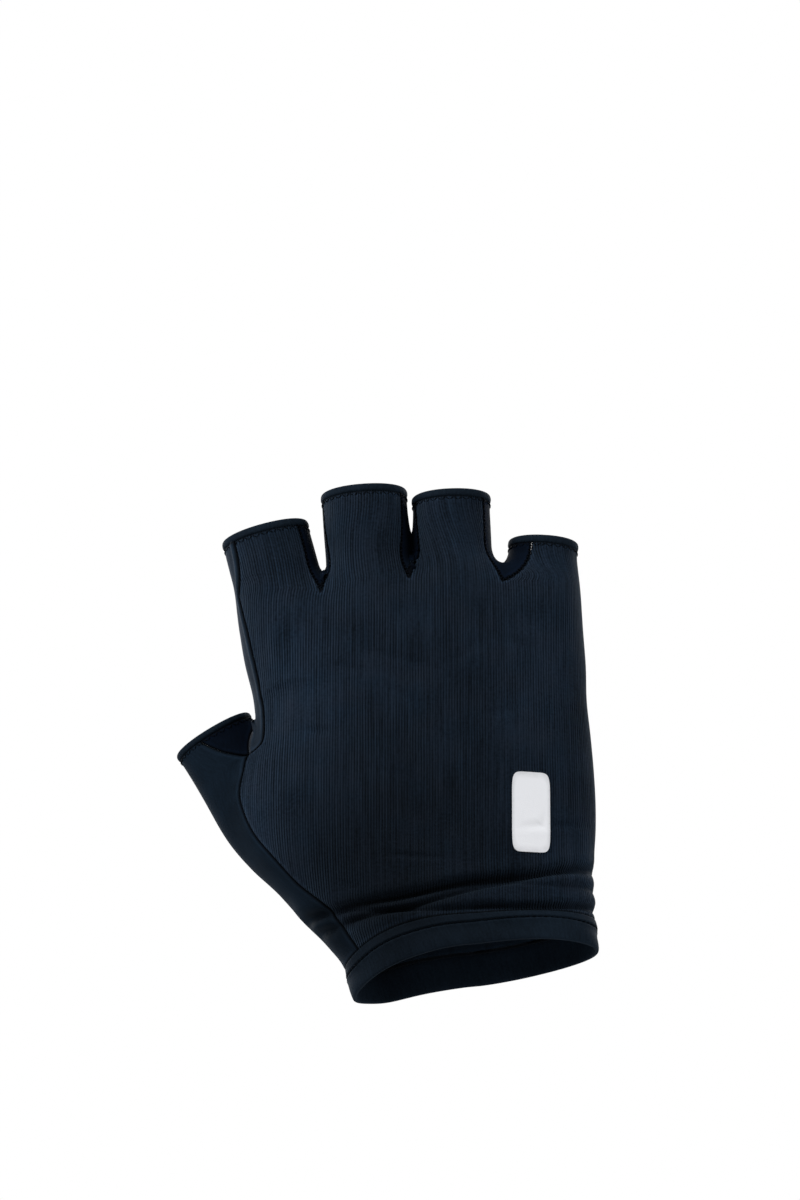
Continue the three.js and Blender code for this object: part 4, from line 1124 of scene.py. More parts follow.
class Tree:
    """Helper that adds nodes to a tree and links them in one call."""

    def __init__(self, tree):
        self.tree = tree
        self.nodes = tree.nodes

    def add(self, kind, inputs=None, **settings):
        """A node with its settings, its inputs linked to sockets or set to values."""
        node = self.nodes.new(kind)
        for key, value in settings.items():
            setattr(node, key, value)
        for key, value in (inputs or {}).items():
            if isinstance(value, bpy.types.NodeSocket):
                self.link(value, node.inputs[key])
            else:
                node.inputs[key].default_value = value
        return node

    def link(self, output, socket):
        self.tree.links.new(output, socket)

    def math(self, operation, a, b=0.0, c=0.0):
        node = self.add("ShaderNodeMath", {0: a, 1: b, 2: c}, operation=operation)
        return node.outputs[0]

    def noise(self, vector, scale, detail=2.0, roughness=0.5):
        node = self.add(
            "ShaderNodeTexNoise",
            {"Vector": vector, "Scale": scale, "Detail": detail, "Roughness": roughness},
        )
        return node.outputs["Fac"]

    def cloth_place(self):
        """The piece's own UV map, which follows the cloth."""
        return self.add("ShaderNodeUVMap", uv_map="cloth").outputs[0]

    def scaled(self, vector, scale):
        node = self.add("ShaderNodeMapping", {"Vector": vector, "Scale": scale})
        return node.outputs["Vector"]

    def blend(self, share, a, b):
        node = self.add("ShaderNodeMix", {0: share, 6: a, 7: b}, data_type="RGBA")
        return node.outputs[2]

    def ranged(self, value, low, high, bottom=0.0, top=1.0, easing="LINEAR"):
        """A value that lies from low to high moved to the range from bottom to top."""
        node = self.add(
            "ShaderNodeMapRange",
            {"Value": value, "From Min": low, "From Max": high, "To Min": bottom, "To Max": top},
            interpolation_type=easing,
        )
        return node.outputs[0]

    def group(self, name, inputs):
        """A group's outputs, with its inputs linked or set by name."""
        tree = bpy.data.node_groups[name]
        return self.add("ShaderNodeGroup", inputs, node_tree=tree).outputs


SOCKETS = {"vector": "NodeSocketVector", "value": "NodeSocketFloat", "colour": "NodeSocketColor"}


def new_group(name, inputs, outputs):
    """A shader node group with named sockets. inputs are (name, kind, default)."""
    group = bpy.data.node_groups.new(name, "ShaderNodeTree")
    for key, kind, default in inputs:
        socket = group.interface.new_socket(key, in_out="INPUT", socket_type=SOCKETS[kind])
        if kind != "vector":
            socket.default_value = default
    for key, kind in outputs:
        group.interface.new_socket(key, in_out="OUTPUT", socket_type=SOCKETS[kind])
    tree = Tree(group)
    source = tree.add("NodeGroupInput").outputs
    target = tree.add("NodeGroupOutput").inputs
    return tree, source, target


def make_rib_group():
    """Knitted wales: a rounded crest |sin|^0.8 across each pitch, with painted light on the crests
    and painted shade in the grooves.

    They stand out in some patches and blur in others, under streaks, mottling and a little lint,
    which are the knit's own colour; Tint adds a painted grey highlight here and there.
    """
    tree, source, target = new_group(
        "rib_knit",
        [("Cloth", "vector", None), ("Pitch", "value", 1.0), ("Waver", "value", 0.3),
         ("Groove", "colour", (0, 0, 0, 1)), ("Crest", "colour", (1, 1, 1, 1)),
         ("Tint", "colour", (1, 1, 1, 1))],
        [("Color", "colour"), ("Height", "value"), ("Mask", "value")],
    )
    place = tree.scaled(source["Cloth"], (UV_SPAN, UV_SPAN, 1))

    def swing(vector, scale, detail, size):
        """Noise about zero, of the given size."""
        noise = tree.noise(vector, scale, detail)
        return tree.math("MULTIPLY", tree.math("SUBTRACT", noise, 0.5), size)

    apart = tree.add("ShaderNodeSeparateXYZ", {"Vector": place}).outputs
    shift = tree.math("MULTIPLY", swing(place, 0.08, 1.0, 1.0), source["Waver"])
    wale = tree.math("DIVIDE", tree.math("ADD", apart["X"], shift), source["Pitch"])
    wave = tree.math("ABSOLUTE", tree.math("SINE", tree.math("MULTIPLY", wale, math.pi)))
    crest = tree.math("POWER", wave, 0.8)
    patchy = tree.noise(tree.scaled(place, (0.11, 0.06, 1)), 1.0, 3.0)
    shown = tree.ranged(patchy, 0.38, 0.6, 0.3, 1.0)
    rib = tree.math("MULTIPLY", tree.math("SUBTRACT", crest, 0.62), shown)
    mottle = swing(tree.scaled(place, (0.9, 1.6, 1)), 1.0, 3.0, 1.1)
    streak = swing(tree.scaled(place, (1.35, 0.05, 1)), 1.0, 2.0, 1.3)
    broad = swing(place, 0.05, 2.0, 1.1)
    mask = tree.math("ADD", tree.math("MULTIPLY_ADD", rib, 0.9, mottle), 0.42)
    mask = tree.math("ADD", mask, tree.math("ADD", streak, broad))
    lint = tree.ranged(tree.noise(place, 1.1, 1.0), 0.78, 0.84, 0.0, 1.2)
    mask = tree.math("ADD", tree.math("MAXIMUM", mask, 0.0), lint)
    # Painted shade in the ribs' grooves and painted light on their crests, over the knit's own
    # mottling.
    colour = tree.blend(mask, source["Groove"], source["Crest"])
    # Painted grey highlight in patches where the mask is high.
    highlight_patches = tree.math("ADD", swing(place, 0.12, 3.0, 1.6), 0.35)
    colour = tree.blend(tree.math("MULTIPLY", highlight_patches, mask), colour, source["Tint"])
    tree.link(colour, target["Color"])
    height = tree.math("ADD", rib, tree.math("MULTIPLY", mottle, 0.3))
    tree.link(height, target["Height"])
    tree.link(mask, target["Mask"])


def make_jersey_group():
    """Smooth fine jersey: tiny grain, a faint run of wales and broad patches."""
    tree, source, target = new_group(
        "smooth_jersey",
        [("Cloth", "vector", None), ("Grain", "value", 0.35), ("Dark", "colour", (0, 0, 0, 1)),
         ("Light", "colour", (1, 1, 1, 1))],
        [("Color", "colour"), ("Height", "value")],
    )
    place = tree.scaled(source["Cloth"], (UV_SPAN, UV_SPAN, 1))
    fine = tree.noise(place, tree.math("DIVIDE", 1.0, source["Grain"]), 2.0, 0.6)
    run = tree.noise(tree.scaled(place, (1.8, 0.25, 1)), 1.0, 2.0)
    broad = tree.noise(place, 0.07, 2.0)
    total = tree.math("ADD", tree.math("MULTIPLY", fine, 0.45), tree.math("MULTIPLY", run, 0.4))
    total = tree.math("ADD", total, tree.math("MULTIPLY", broad, 0.5))
    share = tree.ranged(total, 0.45, 0.9)
    tree.link(tree.blend(share, source["Dark"], source["Light"]), target["Color"])
    height = tree.math("ADD", tree.math("MULTIPLY", fine, 0.6), tree.math("MULTIPLY", run, 0.4))
    tree.link(height, target["Height"])


def make_suede_group():
    """Brushed synthetic suede: soft mottling under a short directionless nap."""
    tree, source, target = new_group(
        "brushed_suede",
        [("Cloth", "vector", None), ("Nap", "value", 0.5), ("Dark", "colour", (0, 0, 0, 1)),
         ("Light", "colour", (1, 1, 1, 1))],
        [("Color", "colour"), ("Height", "value")],
    )
    place = tree.scaled(source["Cloth"], (UV_SPAN, UV_SPAN, 1))
    nap = tree.noise(place, tree.math("DIVIDE", 1.0, source["Nap"]), 4.0, 0.7)
    mottle = tree.noise(place, 0.22, 3.0, 0.6)
    stroke = tree.noise(tree.scaled(place, (0.5, 0.14, 1)), 1.0, 2.0)
    total = tree.math("ADD", tree.math("MULTIPLY", nap, 0.45), tree.math("MULTIPLY", mottle, 0.5))
    total = tree.math("ADD", total, tree.math("MULTIPLY", stroke, 0.35))
    share = tree.ranged(total, 0.42, 0.9)
    tree.link(tree.blend(share, source["Dark"], source["Light"]), target["Color"])
    tree.link(nap, target["Height"])


def make_seam_group():
    """Colour beside a seam: painted shade in its groove, a little worn and pale on the edge's
    crest, all scaled by the mesh's painted light and shade.
    """
    tree, source, target = new_group(
        "seam_shade_and_wear",
        [("Color", "colour", (0, 0, 0, 1)), ("Distance", "value", 5.0), ("Painted shading", "value", 1.0),
         ("Wear", "value", 0.3), ("Place", "vector", None)],
        [("Color", "colour"), ("Crest", "value")],
    )
    distance = source["Distance"]
    # Painted shade: the colour darkens in the seam's groove and is multiplied by the painted light
    # and shade factor.
    groove = tree.ranged(distance, 0.1, 0.7, 0.25, 1.0, "SMOOTHSTEP")
    groove = tree.math("MULTIPLY", groove, source["Painted shading"])
    away = tree.math("DIVIDE", tree.math("SUBTRACT", distance, 0.9), 0.4)
    crest = tree.math("EXPONENT", tree.math("MULTIPLY", tree.math("MULTIPLY", away, away), -1.0))
    patchy = tree.noise(source["Place"], 260.0, 2.0)
    crest = tree.math("MULTIPLY", crest, tree.math("MULTIPLY", patchy, source["Wear"]))
    colour = source["Color"]
    for factor in (tree.math("MULTIPLY_ADD", crest, 2.0, 1.0), groove):
        colour = tree.add(
            "ShaderNodeVectorMath", {0: colour, "Scale": factor}, operation="SCALE"
        ).outputs[0]
    tree.link(colour, target["Color"])
    tree.link(crest, target["Crest"])


def make_thread_group():
    """Twisted sewing thread: slanting ply lines with painted light on the plies and painted shade
    between them, and a slight fuzz.
    """
    tree, source, target = new_group(
        "twisted_thread",
        [("Thread", "vector", None), ("Dark", "colour", (0, 0, 0, 1)),
         ("Light", "colour", (1, 1, 1, 1))],
        [("Color", "colour"), ("Height", "value")],
    )
    apart = tree.add("ShaderNodeSeparateXYZ", {"Vector": source["Thread"]}).outputs
    turn = tree.math("ADD", tree.math("MULTIPLY", apart["X"], 1100.0),
                     tree.math("MULTIPLY", apart["Y"], math.tau))
    ply = tree.math("MULTIPLY_ADD", tree.math("SINE", turn), 0.5, 0.5)
    fuzz = tree.noise(source["Thread"], 400.0, 2.0)
    # Painted light and shade along the ply lines, broken by the fuzz.
    share = tree.math("MULTIPLY", ply, fuzz)
    tree.link(tree.blend(share, source["Dark"], source["Light"]), target["Color"])
    tree.link(ply, target["Height"])


def make_groups():
    for make in (
        make_rib_group, make_jersey_group, make_suede_group, make_seam_group, make_thread_group
    ):
        make()


def new_material(name):
    material = bpy.data.materials.new(name)
    material.use_nodes = True
    material.node_tree.nodes.clear()
    return material, Tree(material.node_tree)


def finish_material(material, tree, colour, height, depth, roughness, sheen, specular=0.12):
    """Principled cloth: colour, a bump of the given depth in metres, roughness and sheen."""
    bump = tree.add(
        "ShaderNodeBump", {"Height": height, "Distance": depth, "Strength": 1.0}
    ).outputs[0]
    shader = tree.add("ShaderNodeBsdfPrincipled", {"Base Color": colour, "Normal": bump})
    if isinstance(roughness, bpy.types.NodeSocket):
        tree.link(roughness, shader.inputs["Roughness"])
    else:
        shader.inputs["Roughness"].default_value = roughness
    shader.inputs["Specular IOR Level"].default_value = specular
    shader.inputs["Sheen Weight"].default_value = sheen[0]
    shader.inputs["Sheen Roughness"].default_value = 0.5
    shader.inputs["Sheen Tint"].default_value = (*sheen[1], 1)
    output = tree.add("ShaderNodeOutputMaterial")
    tree.link(shader.outputs[0], output.inputs["Surface"])
    return material


def scaled_colour(colour, factor):
    return (*(channel * factor for channel in colour[:3]), 1)


def shaded_worn_cloth(tree, colour, wear):
    """The group of painted seam shade and seam wear, fed with a cloth's colour, the mesh's seam
    attribute and its painted light and shade attribute.
    """
    return tree.group(
        "seam_shade_and_wear",
        {"Color": colour, "Wear": wear,
         "Distance": tree.add("ShaderNodeAttribute", attribute_name="seam").outputs["Fac"],
         "Painted shading": tree.add("ShaderNodeAttribute", attribute_name="painted_shading").outputs["Fac"],
         "Place": tree.add("ShaderNodeTexCoord").outputs["Object"]},
    )


def rib_material(look):
    material, tree = new_material("ribbed cloth")
    uv = tree.cloth_place()
    rib = tree.group(
        "rib_knit",
        # Groove and Crest are shaded and lit copies of the rib colour (painted shade, painted
        # light); Tint is a painted grey highlight.
        {"Cloth": uv, "Pitch": look.rib_pitch / MM, "Groove": scaled_colour(look.rib_colour, 0.3),
         "Crest": scaled_colour(look.rib_colour, 1.7), "Tint": (*look.rib_highlight_tint, 1)},
    )
    shaded_worn = shaded_worn_cloth(tree, rib["Color"], 0.5)
    rough = tree.math("MULTIPLY_ADD", rib["Mask"], -0.12, 0.9)
    return finish_material(
        material, tree, shaded_worn["Color"], rib["Height"], 0.0004, rough, (0.04, (0.45, 0.7, 1.0)),
        0.04,
    )


def jersey_material(name, colour, light, grain, roughness=0.8):
    material, tree = new_material(name)
    uv = tree.cloth_place()
    weave = tree.group(
        "smooth_jersey",
        {"Cloth": uv, "Grain": grain, "Dark": scaled_colour(colour, 0.55),
         "Light": scaled_colour(colour, light)},
    )
    shaded_worn = shaded_worn_cloth(tree, weave["Color"], 0.4)
    return finish_material(
        material, tree, shaded_worn["Color"], weave["Height"], 0.00006, roughness,
        (0.015, (0.45, 0.7, 1.0)), 0.03,
    )


def suede_material(look):
    material, tree = new_material("suede cloth")
    uv = tree.cloth_place()
    nap = tree.group(
        "brushed_suede",
        {"Cloth": uv, "Nap": 0.55, "Dark": scaled_colour(look.palm_colour, 0.6),
         "Light": scaled_colour(look.palm_colour, 1.5)},
    )
    shaded_worn = shaded_worn_cloth(tree, nap["Color"], 0.6)
    return finish_material(
        material, tree, shaded_worn["Color"], nap["Height"], 0.0001, 0.92, (0.06, (0.6, 0.75, 1.0)), 0.06
    )


def thread_material(look):
    material, tree = new_material("sewing thread")
    uv = tree.cloth_place()
    twist = tree.group(
        "twisted_thread",
        {"Thread": uv, "Dark": scaled_colour(look.thread_colour, 0.4),
         "Light": scaled_colour(look.thread_colour, 1.8)},
    )
    return finish_material(
        material, tree, twist["Color"], twist["Height"], 0.00004, 0.85, (0.0, (0.7, 0.8, 1.0)),
        0.05,
    )


def film_material(look):
    """Pale film with fine glass-bead grain, a little duller and scuffed towards its edge."""
    material, tree = new_material("reflective film")
    uv = tree.cloth_place()
    place = tree.scaled(uv, (UV_SPAN, UV_SPAN, 1))
    bead = tree.noise(place, 3.2, 2.0)
    scuff = tree.noise(place, 0.6, 4.0, 0.7)
    seam = tree.add("ShaderNodeAttribute", attribute_name="seam").outputs["Fac"]
    edge = tree.ranged(seam, 0.0, 0.9)
    dull = tree.math("MULTIPLY", tree.math("SUBTRACT", 1.0, edge), scuff)
    colour = tree.blend(
        tree.math("ADD", tree.math("MULTIPLY", bead, 0.12), dull),
        (*look.patch_colour, 1), scaled_colour(look.patch_colour, 0.6),
    )
    rough = tree.math("MULTIPLY_ADD", scuff, 0.25, 0.35)
    return finish_material(
        material, tree, colour, tree.math("ADD", bead, scuff), 0.00003, rough,
        (0.0, (1.0, 1.0, 1.0)), 0.5,
    )


class GloveSizes(bpy.types.PropertyGroup):
    seam_round: bpy.props.FloatProperty(
        name="Seam rounding", description="Radius at which cloth turns down into a seam",
        default=0.7 * MM, min=0.1 * MM, max=2 * MM, unit="LENGTH",
    )
    stitch_pitch: bpy.props.FloatProperty(
        name="Stitch pitch", description="Distance between neighbouring stitches",
        default=1.5 * MM, min=0.5 * MM, max=5 * MM, unit="LENGTH",
    )
    stitch_width: bpy.props.FloatProperty(
        name="Stitch width", description="Width of a seam's overlocked stitches",
        default=1.9 * MM, min=0.5 * MM, max=5 * MM, unit="LENGTH",
    )
    thread: bpy.props.FloatProperty(
        name="Thread", description="Thickness of the sewing thread",
        default=0.34 * MM, min=0.1 * MM, max=1 * MM, unit="LENGTH",
    )
    strip_lift: bpy.props.FloatProperty(
        name="Strip lift", description="Height of the raised edge of the forefinger strip",
        default=0.55 * MM, min=0, max=2 * MM, unit="LENGTH",
    )


class GloveLook(bpy.types.PropertyGroup):
    rib_pitch: bpy.props.FloatProperty(
        name="Rib pitch", description="Distance between the back panel's knitted ribs",
        default=0.74 * MM, min=0.3 * MM, max=4 * MM, unit="LENGTH",
    )
    rib_colour: bpy.props.FloatVectorProperty(
        name="Ribbed cloth", description="Colour of the back panel's ribs",
        default=(0.0043, 0.0094, 0.0175), size=3, min=0, max=1, subtype="COLOR",
    )
    # Painted grey highlight that shows here and there on the ribs.
    rib_highlight_tint: bpy.props.FloatVectorProperty(
        name="Rib tint", description="Greyer colour that shows here and there on the ribs",
        default=(0.0105, 0.0135, 0.021), size=3, min=0, max=1, subtype="COLOR",
    )
    smooth_colour: bpy.props.FloatVectorProperty(
        name="Smooth cloth", description="Colour of the thumb panel and the finger sides",
        default=(0.0034, 0.0075, 0.0135), size=3, min=0, max=1, subtype="COLOR",
    )
    # Painted shade: darker than the smooth cloth, for the shade between the fingers and in the
    # thumb's crotch.
    inset_colour: bpy.props.FloatVectorProperty(
        name="Insets", description="Colour of the strips between the fingers and the thumb's web",
        default=(0.0008, 0.0024, 0.0062), size=3, min=0, max=1, subtype="COLOR",
    )
    palm_colour: bpy.props.FloatVectorProperty(
        name="Suede", description="Colour of the palm panel and its strip on the forefinger edge",
        default=(0.0042, 0.0084, 0.0145), size=3, min=0, max=1, subtype="COLOR",
    )
    hem_colour: bpy.props.FloatVectorProperty(
        name="Hems", description="Colour of the rolled hems",
        default=(0.0048, 0.0088, 0.0145), size=3, min=0, max=1, subtype="COLOR",
    )
    thread_colour: bpy.props.FloatVectorProperty(
        name="Thread", description="Colour of the sewing thread",
        default=(0.0012, 0.0024, 0.0046), size=3, min=0, max=1, subtype="COLOR",
    )
    patch_colour: bpy.props.FloatVectorProperty(
        name="Patch", description="Colour of the reflective patch",
        default=(0.82, 0.83, 0.86), size=3, min=0, max=1, subtype="COLOR",
    )


class GLOVE_OT_finishes(bpy.types.Operator):
    """Makes the shader groups and materials of the cloths, thread and film"""

    bl_idname = "glove.finishes"
    bl_label = "Finishes"

    def execute(self, context):
        look = context.scene.glove_look
        make_groups()
        rib_material(look)
        jersey_material("smooth cloth", look.smooth_colour, 1.5, 0.4)
        jersey_material("hem cloth", look.hem_colour, 1.6, 0.5, 0.8)
        # Inset colour: darker as painted shade between the fingers and in the thumb's crotch.
        jersey_material("inset cloth", look.inset_colour, 1.5, 0.4, 0.85)
        suede_material(look)
        thread_material(look)
        film_material(look)
        return {"FINISHED"}


def finish_named(name):
    return bpy.data.materials[name]


class GLOVE_OT_back_panel(bpy.types.Operator):
    """Sews the ribbed back panel with its four finger tabs"""

    bl_idname = "glove.back_panel"
    bl_label = "Back panel"

    def execute(self, context):
        tabs = {i: (f["back_left"], f["back_right"]) for i, f in enumerate(FINGERS)}
        work = panel_patchwork(back_guides, (0, 1, 2, 3), tabs)
        radius = context.scene.glove_sizes.seam_round / MM
        piece, area = cloth_piece("back_panel_cloth", work, BACK_WALL, radius)
        dress(piece, finish_named("ribbed cloth"), "ribbed_cloth", "back_panel")
        return {"FINISHED"}


class GLOVE_OT_palm_panel(bpy.types.Operator):
    """Sews the suede palm panel with its wrap over the forefinger side"""

    bl_idname = "glove.palm_panel"
    bl_label = "Palm panel"

    def execute(self, context):
        sizes = context.scene.glove_sizes
        tabs = {i: (f["palm_right"], f["palm_left"]) for i, f in enumerate(FINGERS)}
        work = panel_patchwork(palm_guides, (3, 2, 1, 0), tabs)
        start = work.uvs[-1][:, 0].max()
        shares = seam_shares(WRAP_WIDTH, CLOTH_STEP, False, True)
        rows = palm_rows()
        rows = rows[rows > THUMB_CROTCH_ROW] - THUMB_CROTCH_ROW
        rows = np.concatenate([[0.0], rows])
        points = on_form(wrap_patch(rows, shares))
        u = start + columns_of(points, len(rows) // 2)
        work.add(points, u[None], points[..., 2])
        heights = tab_heights()
        tab = tab_patch(
            0, palm_edge.point(TOP_ROW), back_edge.point(TOP_ROW), FINGERS[0]["palm_left"],
            FINGERS[0]["back_left"] + 360, heights, shares,
        )
        work.add(on_form(tab), u[None], tab[..., 2], hem_row=-1)
        lift = sizes.strip_lift / MM

        def strip_edge(points, distance):
            """A raised bead beside the strip's seam: lift * bell of the distance from 1 mm."""
            front = np.clip(-points[..., 1] / 3, 0, 1)
            beside = np.clip((points[..., 2] / PALM_LENGTH - 0.56) / 0.05, 0, 1)
            left = np.clip((-0.5 * PALM_WIDTH - points[..., 0]) / 4, 0, 1)
            bell = np.exp(-(((distance - 1.0) / 0.8) ** 2))
            return lift * bell * front * beside * left

        piece, area = cloth_piece(
            "palm_panel_cloth", work, PALM_WALL, sizes.seam_round / MM, strip_edge
        )
        dress(piece, finish_named("suede cloth"), "palm_cloth", "palm_panel")
        return {"FINISHED"}


class GLOVE_OT_thumb(bpy.types.Operator):
    """Sews the thumb panel and the web panel above its crotch"""

    bl_idname = "glove.thumb"
    bl_label = "Thumb"

    def execute(self, context):
        radius = context.scene.glove_sizes.seam_round / MM
        work = Patchwork()
        rows = palm_rows()
        rows = rows[rows < THUMB_CROTCH_ROW]
        top = rows_up(THUMB_CROTCH_ROW, THUMB_CROTCH_ROW + WEB_ROWS, 0.6, False, True, 16)
        rows = np.concatenate([rows, top])
        shares = seam_shares(THUMB_SPAN, CLOTH_STEP)
        points = thumb_patch(rows, shares)
        u = columns_of(points, len(rows) * 2 // 3)
        v = np.linspace(0, THUMB_LENGTH, len(rows))[:, None]
        work.add(points, u[None], v, hem_row=[0, -1])
        piece, area = cloth_piece("thumb_panel_cloth", work, THUMB_WALL, radius)
        dress(piece, finish_named("smooth cloth"), "smooth_cloth", "thumb_panel")

        web = Patchwork()
        columns = np.concatenate(
            [
                rows_up(0, WEB_ROWS, WEB_STEP, True, False, WEB_SIDE),
                rows_up(WEB_ROWS, 2 * WEB_ROWS, WEB_STEP, False, False, WEB_CROTCH)[1:],
                rows_up(2 * WEB_ROWS, 3 * WEB_ROWS, WEB_STEP, False, True, WEB_SIDE)[1:],
            ]
        )
        heights = seam_shares(WEB_HEIGHT, WEB_STEP)
        points = web_patch(heights, columns)
        u = columns_of(points, len(heights) // 2)
        web.add(points, u[None], heights[:, None] * WEB_HEIGHT, hem_row=-1)
        piece, area = cloth_piece("thumb_web_cloth", web, THUMB_WALL, radius * NARROW_ROUND)
        dress(piece, finish_named("inset cloth"), "smooth_cloth", "thumb_web_panel")
        return {"FINISHED"}


class GLOVE_OT_fourchettes(bpy.types.Operator):
    """Sews the strips between neighbouring fingers"""

    bl_idname = "glove.fourchettes"
    bl_label = "Fourchettes"

    def execute(self, context):
        radius = context.scene.glove_sizes.seam_round / MM * NARROW_ROUND
        for i in range(len(CROTCHES)):
            before, after = FINGERS[i], FINGERS[i + 1]
            work = Patchwork()
            heights = tab_heights()
            shares = seam_shares(FOURCHETTE_WIDTH, 0.8)
            sides = (
                (i, before["back_right"], before["palm_right"], 1),
                (i + 1, after["back_left"], after["palm_left"] - 360, -1),
            )
            for finger, back_angle, palm_angle, way in sides:
                points = fourchette_patch(finger, i, back_angle, palm_angle, heights, shares)
                climb = way * heights[:, None] * TAB_HEIGHT
                work.add(points, shares[None] * FOURCHETTE_WIDTH, climb, hem_row=-1)
            name = f"fourchette_{before['name']}_{after['name']}"
            piece, area = cloth_piece(name + "_cloth", work, FOURCHETTE_WALL, radius)
            dress(piece, finish_named("inset cloth"), "smooth_cloth", name)
        return {"FINISHED"}


def hem_section(height, power, count):
    """The hem's section, a superellipse, as (down, out) at equal steps round it."""
    turn = np.linspace(0, 2 * np.pi, 2001)
    half = (height - SEAM_GAP / 2) / 2
    down = half - half * signed_power(np.cos(turn), 2 / power)
    out = HEM_PROUD - HEM_WALL / 2 + HEM_WALL / 2 * signed_power(np.sin(turn), 2 / power)
    run = np.concatenate([[0], np.cumsum(np.hypot(np.diff(down), np.diff(out)))])
    at = np.linspace(0, run[-1], count, endpoint=False)
    return np.interp(at, run, down), np.interp(at, run, out)


def band(name, angles, height, place, power, ripple, count):
    """A hem carried round an opening.

    Its section is a superellipse as high as the hem and as thick as its wall. ripple gives a
    lift from the angle and the share of the height.
    """
    down, out = hem_section(height, power, count)
    angle = angles[:, None] + 0 * down[None]
    base = on_form(place(angle, down[None] + 0 * angle))
    normal = normal_of(base)
    outer = np.clip(out / HEM_PROUD, 0, 1) * ripple(angle, down[None] / down.max())
    points = base + normal * (out[None] + outer)[..., None]
    around_count, section = points.shape[:2]
    ids = np.arange(around_count * section).reshape(around_count, section)
    following = np.roll(ids, -1, axis=0)
    faces = np.stack(
        [ids, following, np.roll(following, -1, axis=1), np.roll(ids, -1, axis=1)], axis=-1
    ).reshape(-1, 4)
    run = np.linalg.norm(np.diff(base[:, 0], axis=0, append=base[:1, 0]), axis=1)
    u = np.concatenate([[0], np.cumsum(run)])
    side = np.linalg.norm(np.diff(points[0], axis=0, append=points[0][:1]), axis=1)
    v = np.concatenate([[0], np.cumsum(side)])
    u0, u1, v0, v1 = u[:-1, None], u[1:, None], v[None, :-1], v[None, 1:]
    corners = [(u0, v0), (u1, v0), (u1, v1), (u0, v1)]
    uvs = np.stack(
        [np.stack(np.broadcast_arrays(a, b), axis=-1) for a, b in corners], axis=2
    ).reshape(-1, 2)
    flat = points.reshape(-1, 3)
    a, b, c = (flat[faces[:, i]] for i in range(3))
    if (a * np.cross(b, c)).sum() < 0:
        faces = faces[:, ::-1]
        uvs = uvs.reshape(-1, 4, 2)[:, ::-1].reshape(-1, 2)
    # Second attribute: painted light and shade, a factor on the hem's colour.
    attributes = {"seam": np.full(len(flat), 5.0), "painted_shading": painted_light_and_shade_of(flat)}
    return put_mesh(name, flat, faces, uvs, attributes)


# Rolled finger hems: places round an opening, points round the roll and its section's power
ROLL_STATIONS = 120
ROLL_POINTS = 36
ROLL_POWER = 2.6

# The wrist's flat hem: the same, and its stitched groove's height, a share of the hem's
BAND_STATIONS = 260
BAND_POINTS = 110
BAND_POWER = 4.0
HEM_GROOVE = 0.7


class GLOVE_OT_finger_hems(bpy.types.Operator):
    """Rolls the hems of the finger and thumb openings"""

    bl_idname = "glove.finger_hems"
    bl_label = "Finger hems"

    def execute(self, context):
        angles = np.linspace(0, 360, ROLL_STATIONS, endpoint=False)

        def pucker(angle, share):
            """Small puckers where each stitch draws the roll in."""
            return 0.06 * np.sin(np.radians(angle) * 34) * share

        rolls = [(f["name"], limb, FINGER_HEM_HEIGHT) for f, limb in zip(FINGERS, fingers)]
        for name, limb, height in [*rolls, ("thumb", thumb, THUMB_HEM_HEIGHT)]:
            piece = band(
                name + "_hem_roll", angles, height,
                lambda angle, down, limb=limb: limb.point(-down, angle),
                ROLL_POWER, pucker, ROLL_POINTS,
            )
            dress(piece, finish_named("hem cloth"), "hem_cloth", name + "_hem")
        return {"FINISHED"}


class GLOVE_OT_wrist_hem(bpy.types.Operator):
    """Makes the wrist's wide hem"""

    bl_idname = "glove.wrist_hem"
    bl_label = "Wrist hem"

    def execute(self, context):
        angles = np.linspace(0, 360, BAND_STATIONS, endpoint=False)

        def ripple(angle, share):
            """A stitched groove below the hem's upper edge, its draws and a slow wave."""
            turn = np.radians(angle)
            groove = np.exp(-(((share - HEM_GROOVE) / 0.035) ** 2))
            beside = np.exp(-(((share - HEM_GROOVE) / 0.12) ** 2))
            draw = 0.07 * np.sin(turn * 70 + 1.3 * np.sin(turn * 5)) * beside
            wave = 0.25 * np.sin(turn * 5 + 2 + 3 * share) * np.sin(np.pi * share)
            return draw + wave + 0.22 * beside - 0.6 * groove

        piece = band(
            "wrist_hem_band", angles, WRIST_HEM_HEIGHT,
            lambda angle, down: palm.point(wrist_edge(angle) + down, angle),
            BAND_POWER, ripple, BAND_POINTS,
        )
        dress(piece, finish_named("hem cloth"), "hem_cloth", "wrist_hem")
        return {"FINISHED"}


STITCH_RINGS = 7  # of points along a stitch
STITCH_SIDES = 6  # points round a stitch


def resampled(path, step):
    """A path with points at equal steps along it."""
    run = np.linalg.norm(np.diff(path, axis=0), axis=1)
    length = np.concatenate([[0], np.cumsum(run)])
    at = np.linspace(0, length[-1], max(int(length[-1] / step), 2) + 1)
    return np.stack([np.interp(at, length, path[:, i]) for i in range(3)], axis=1)


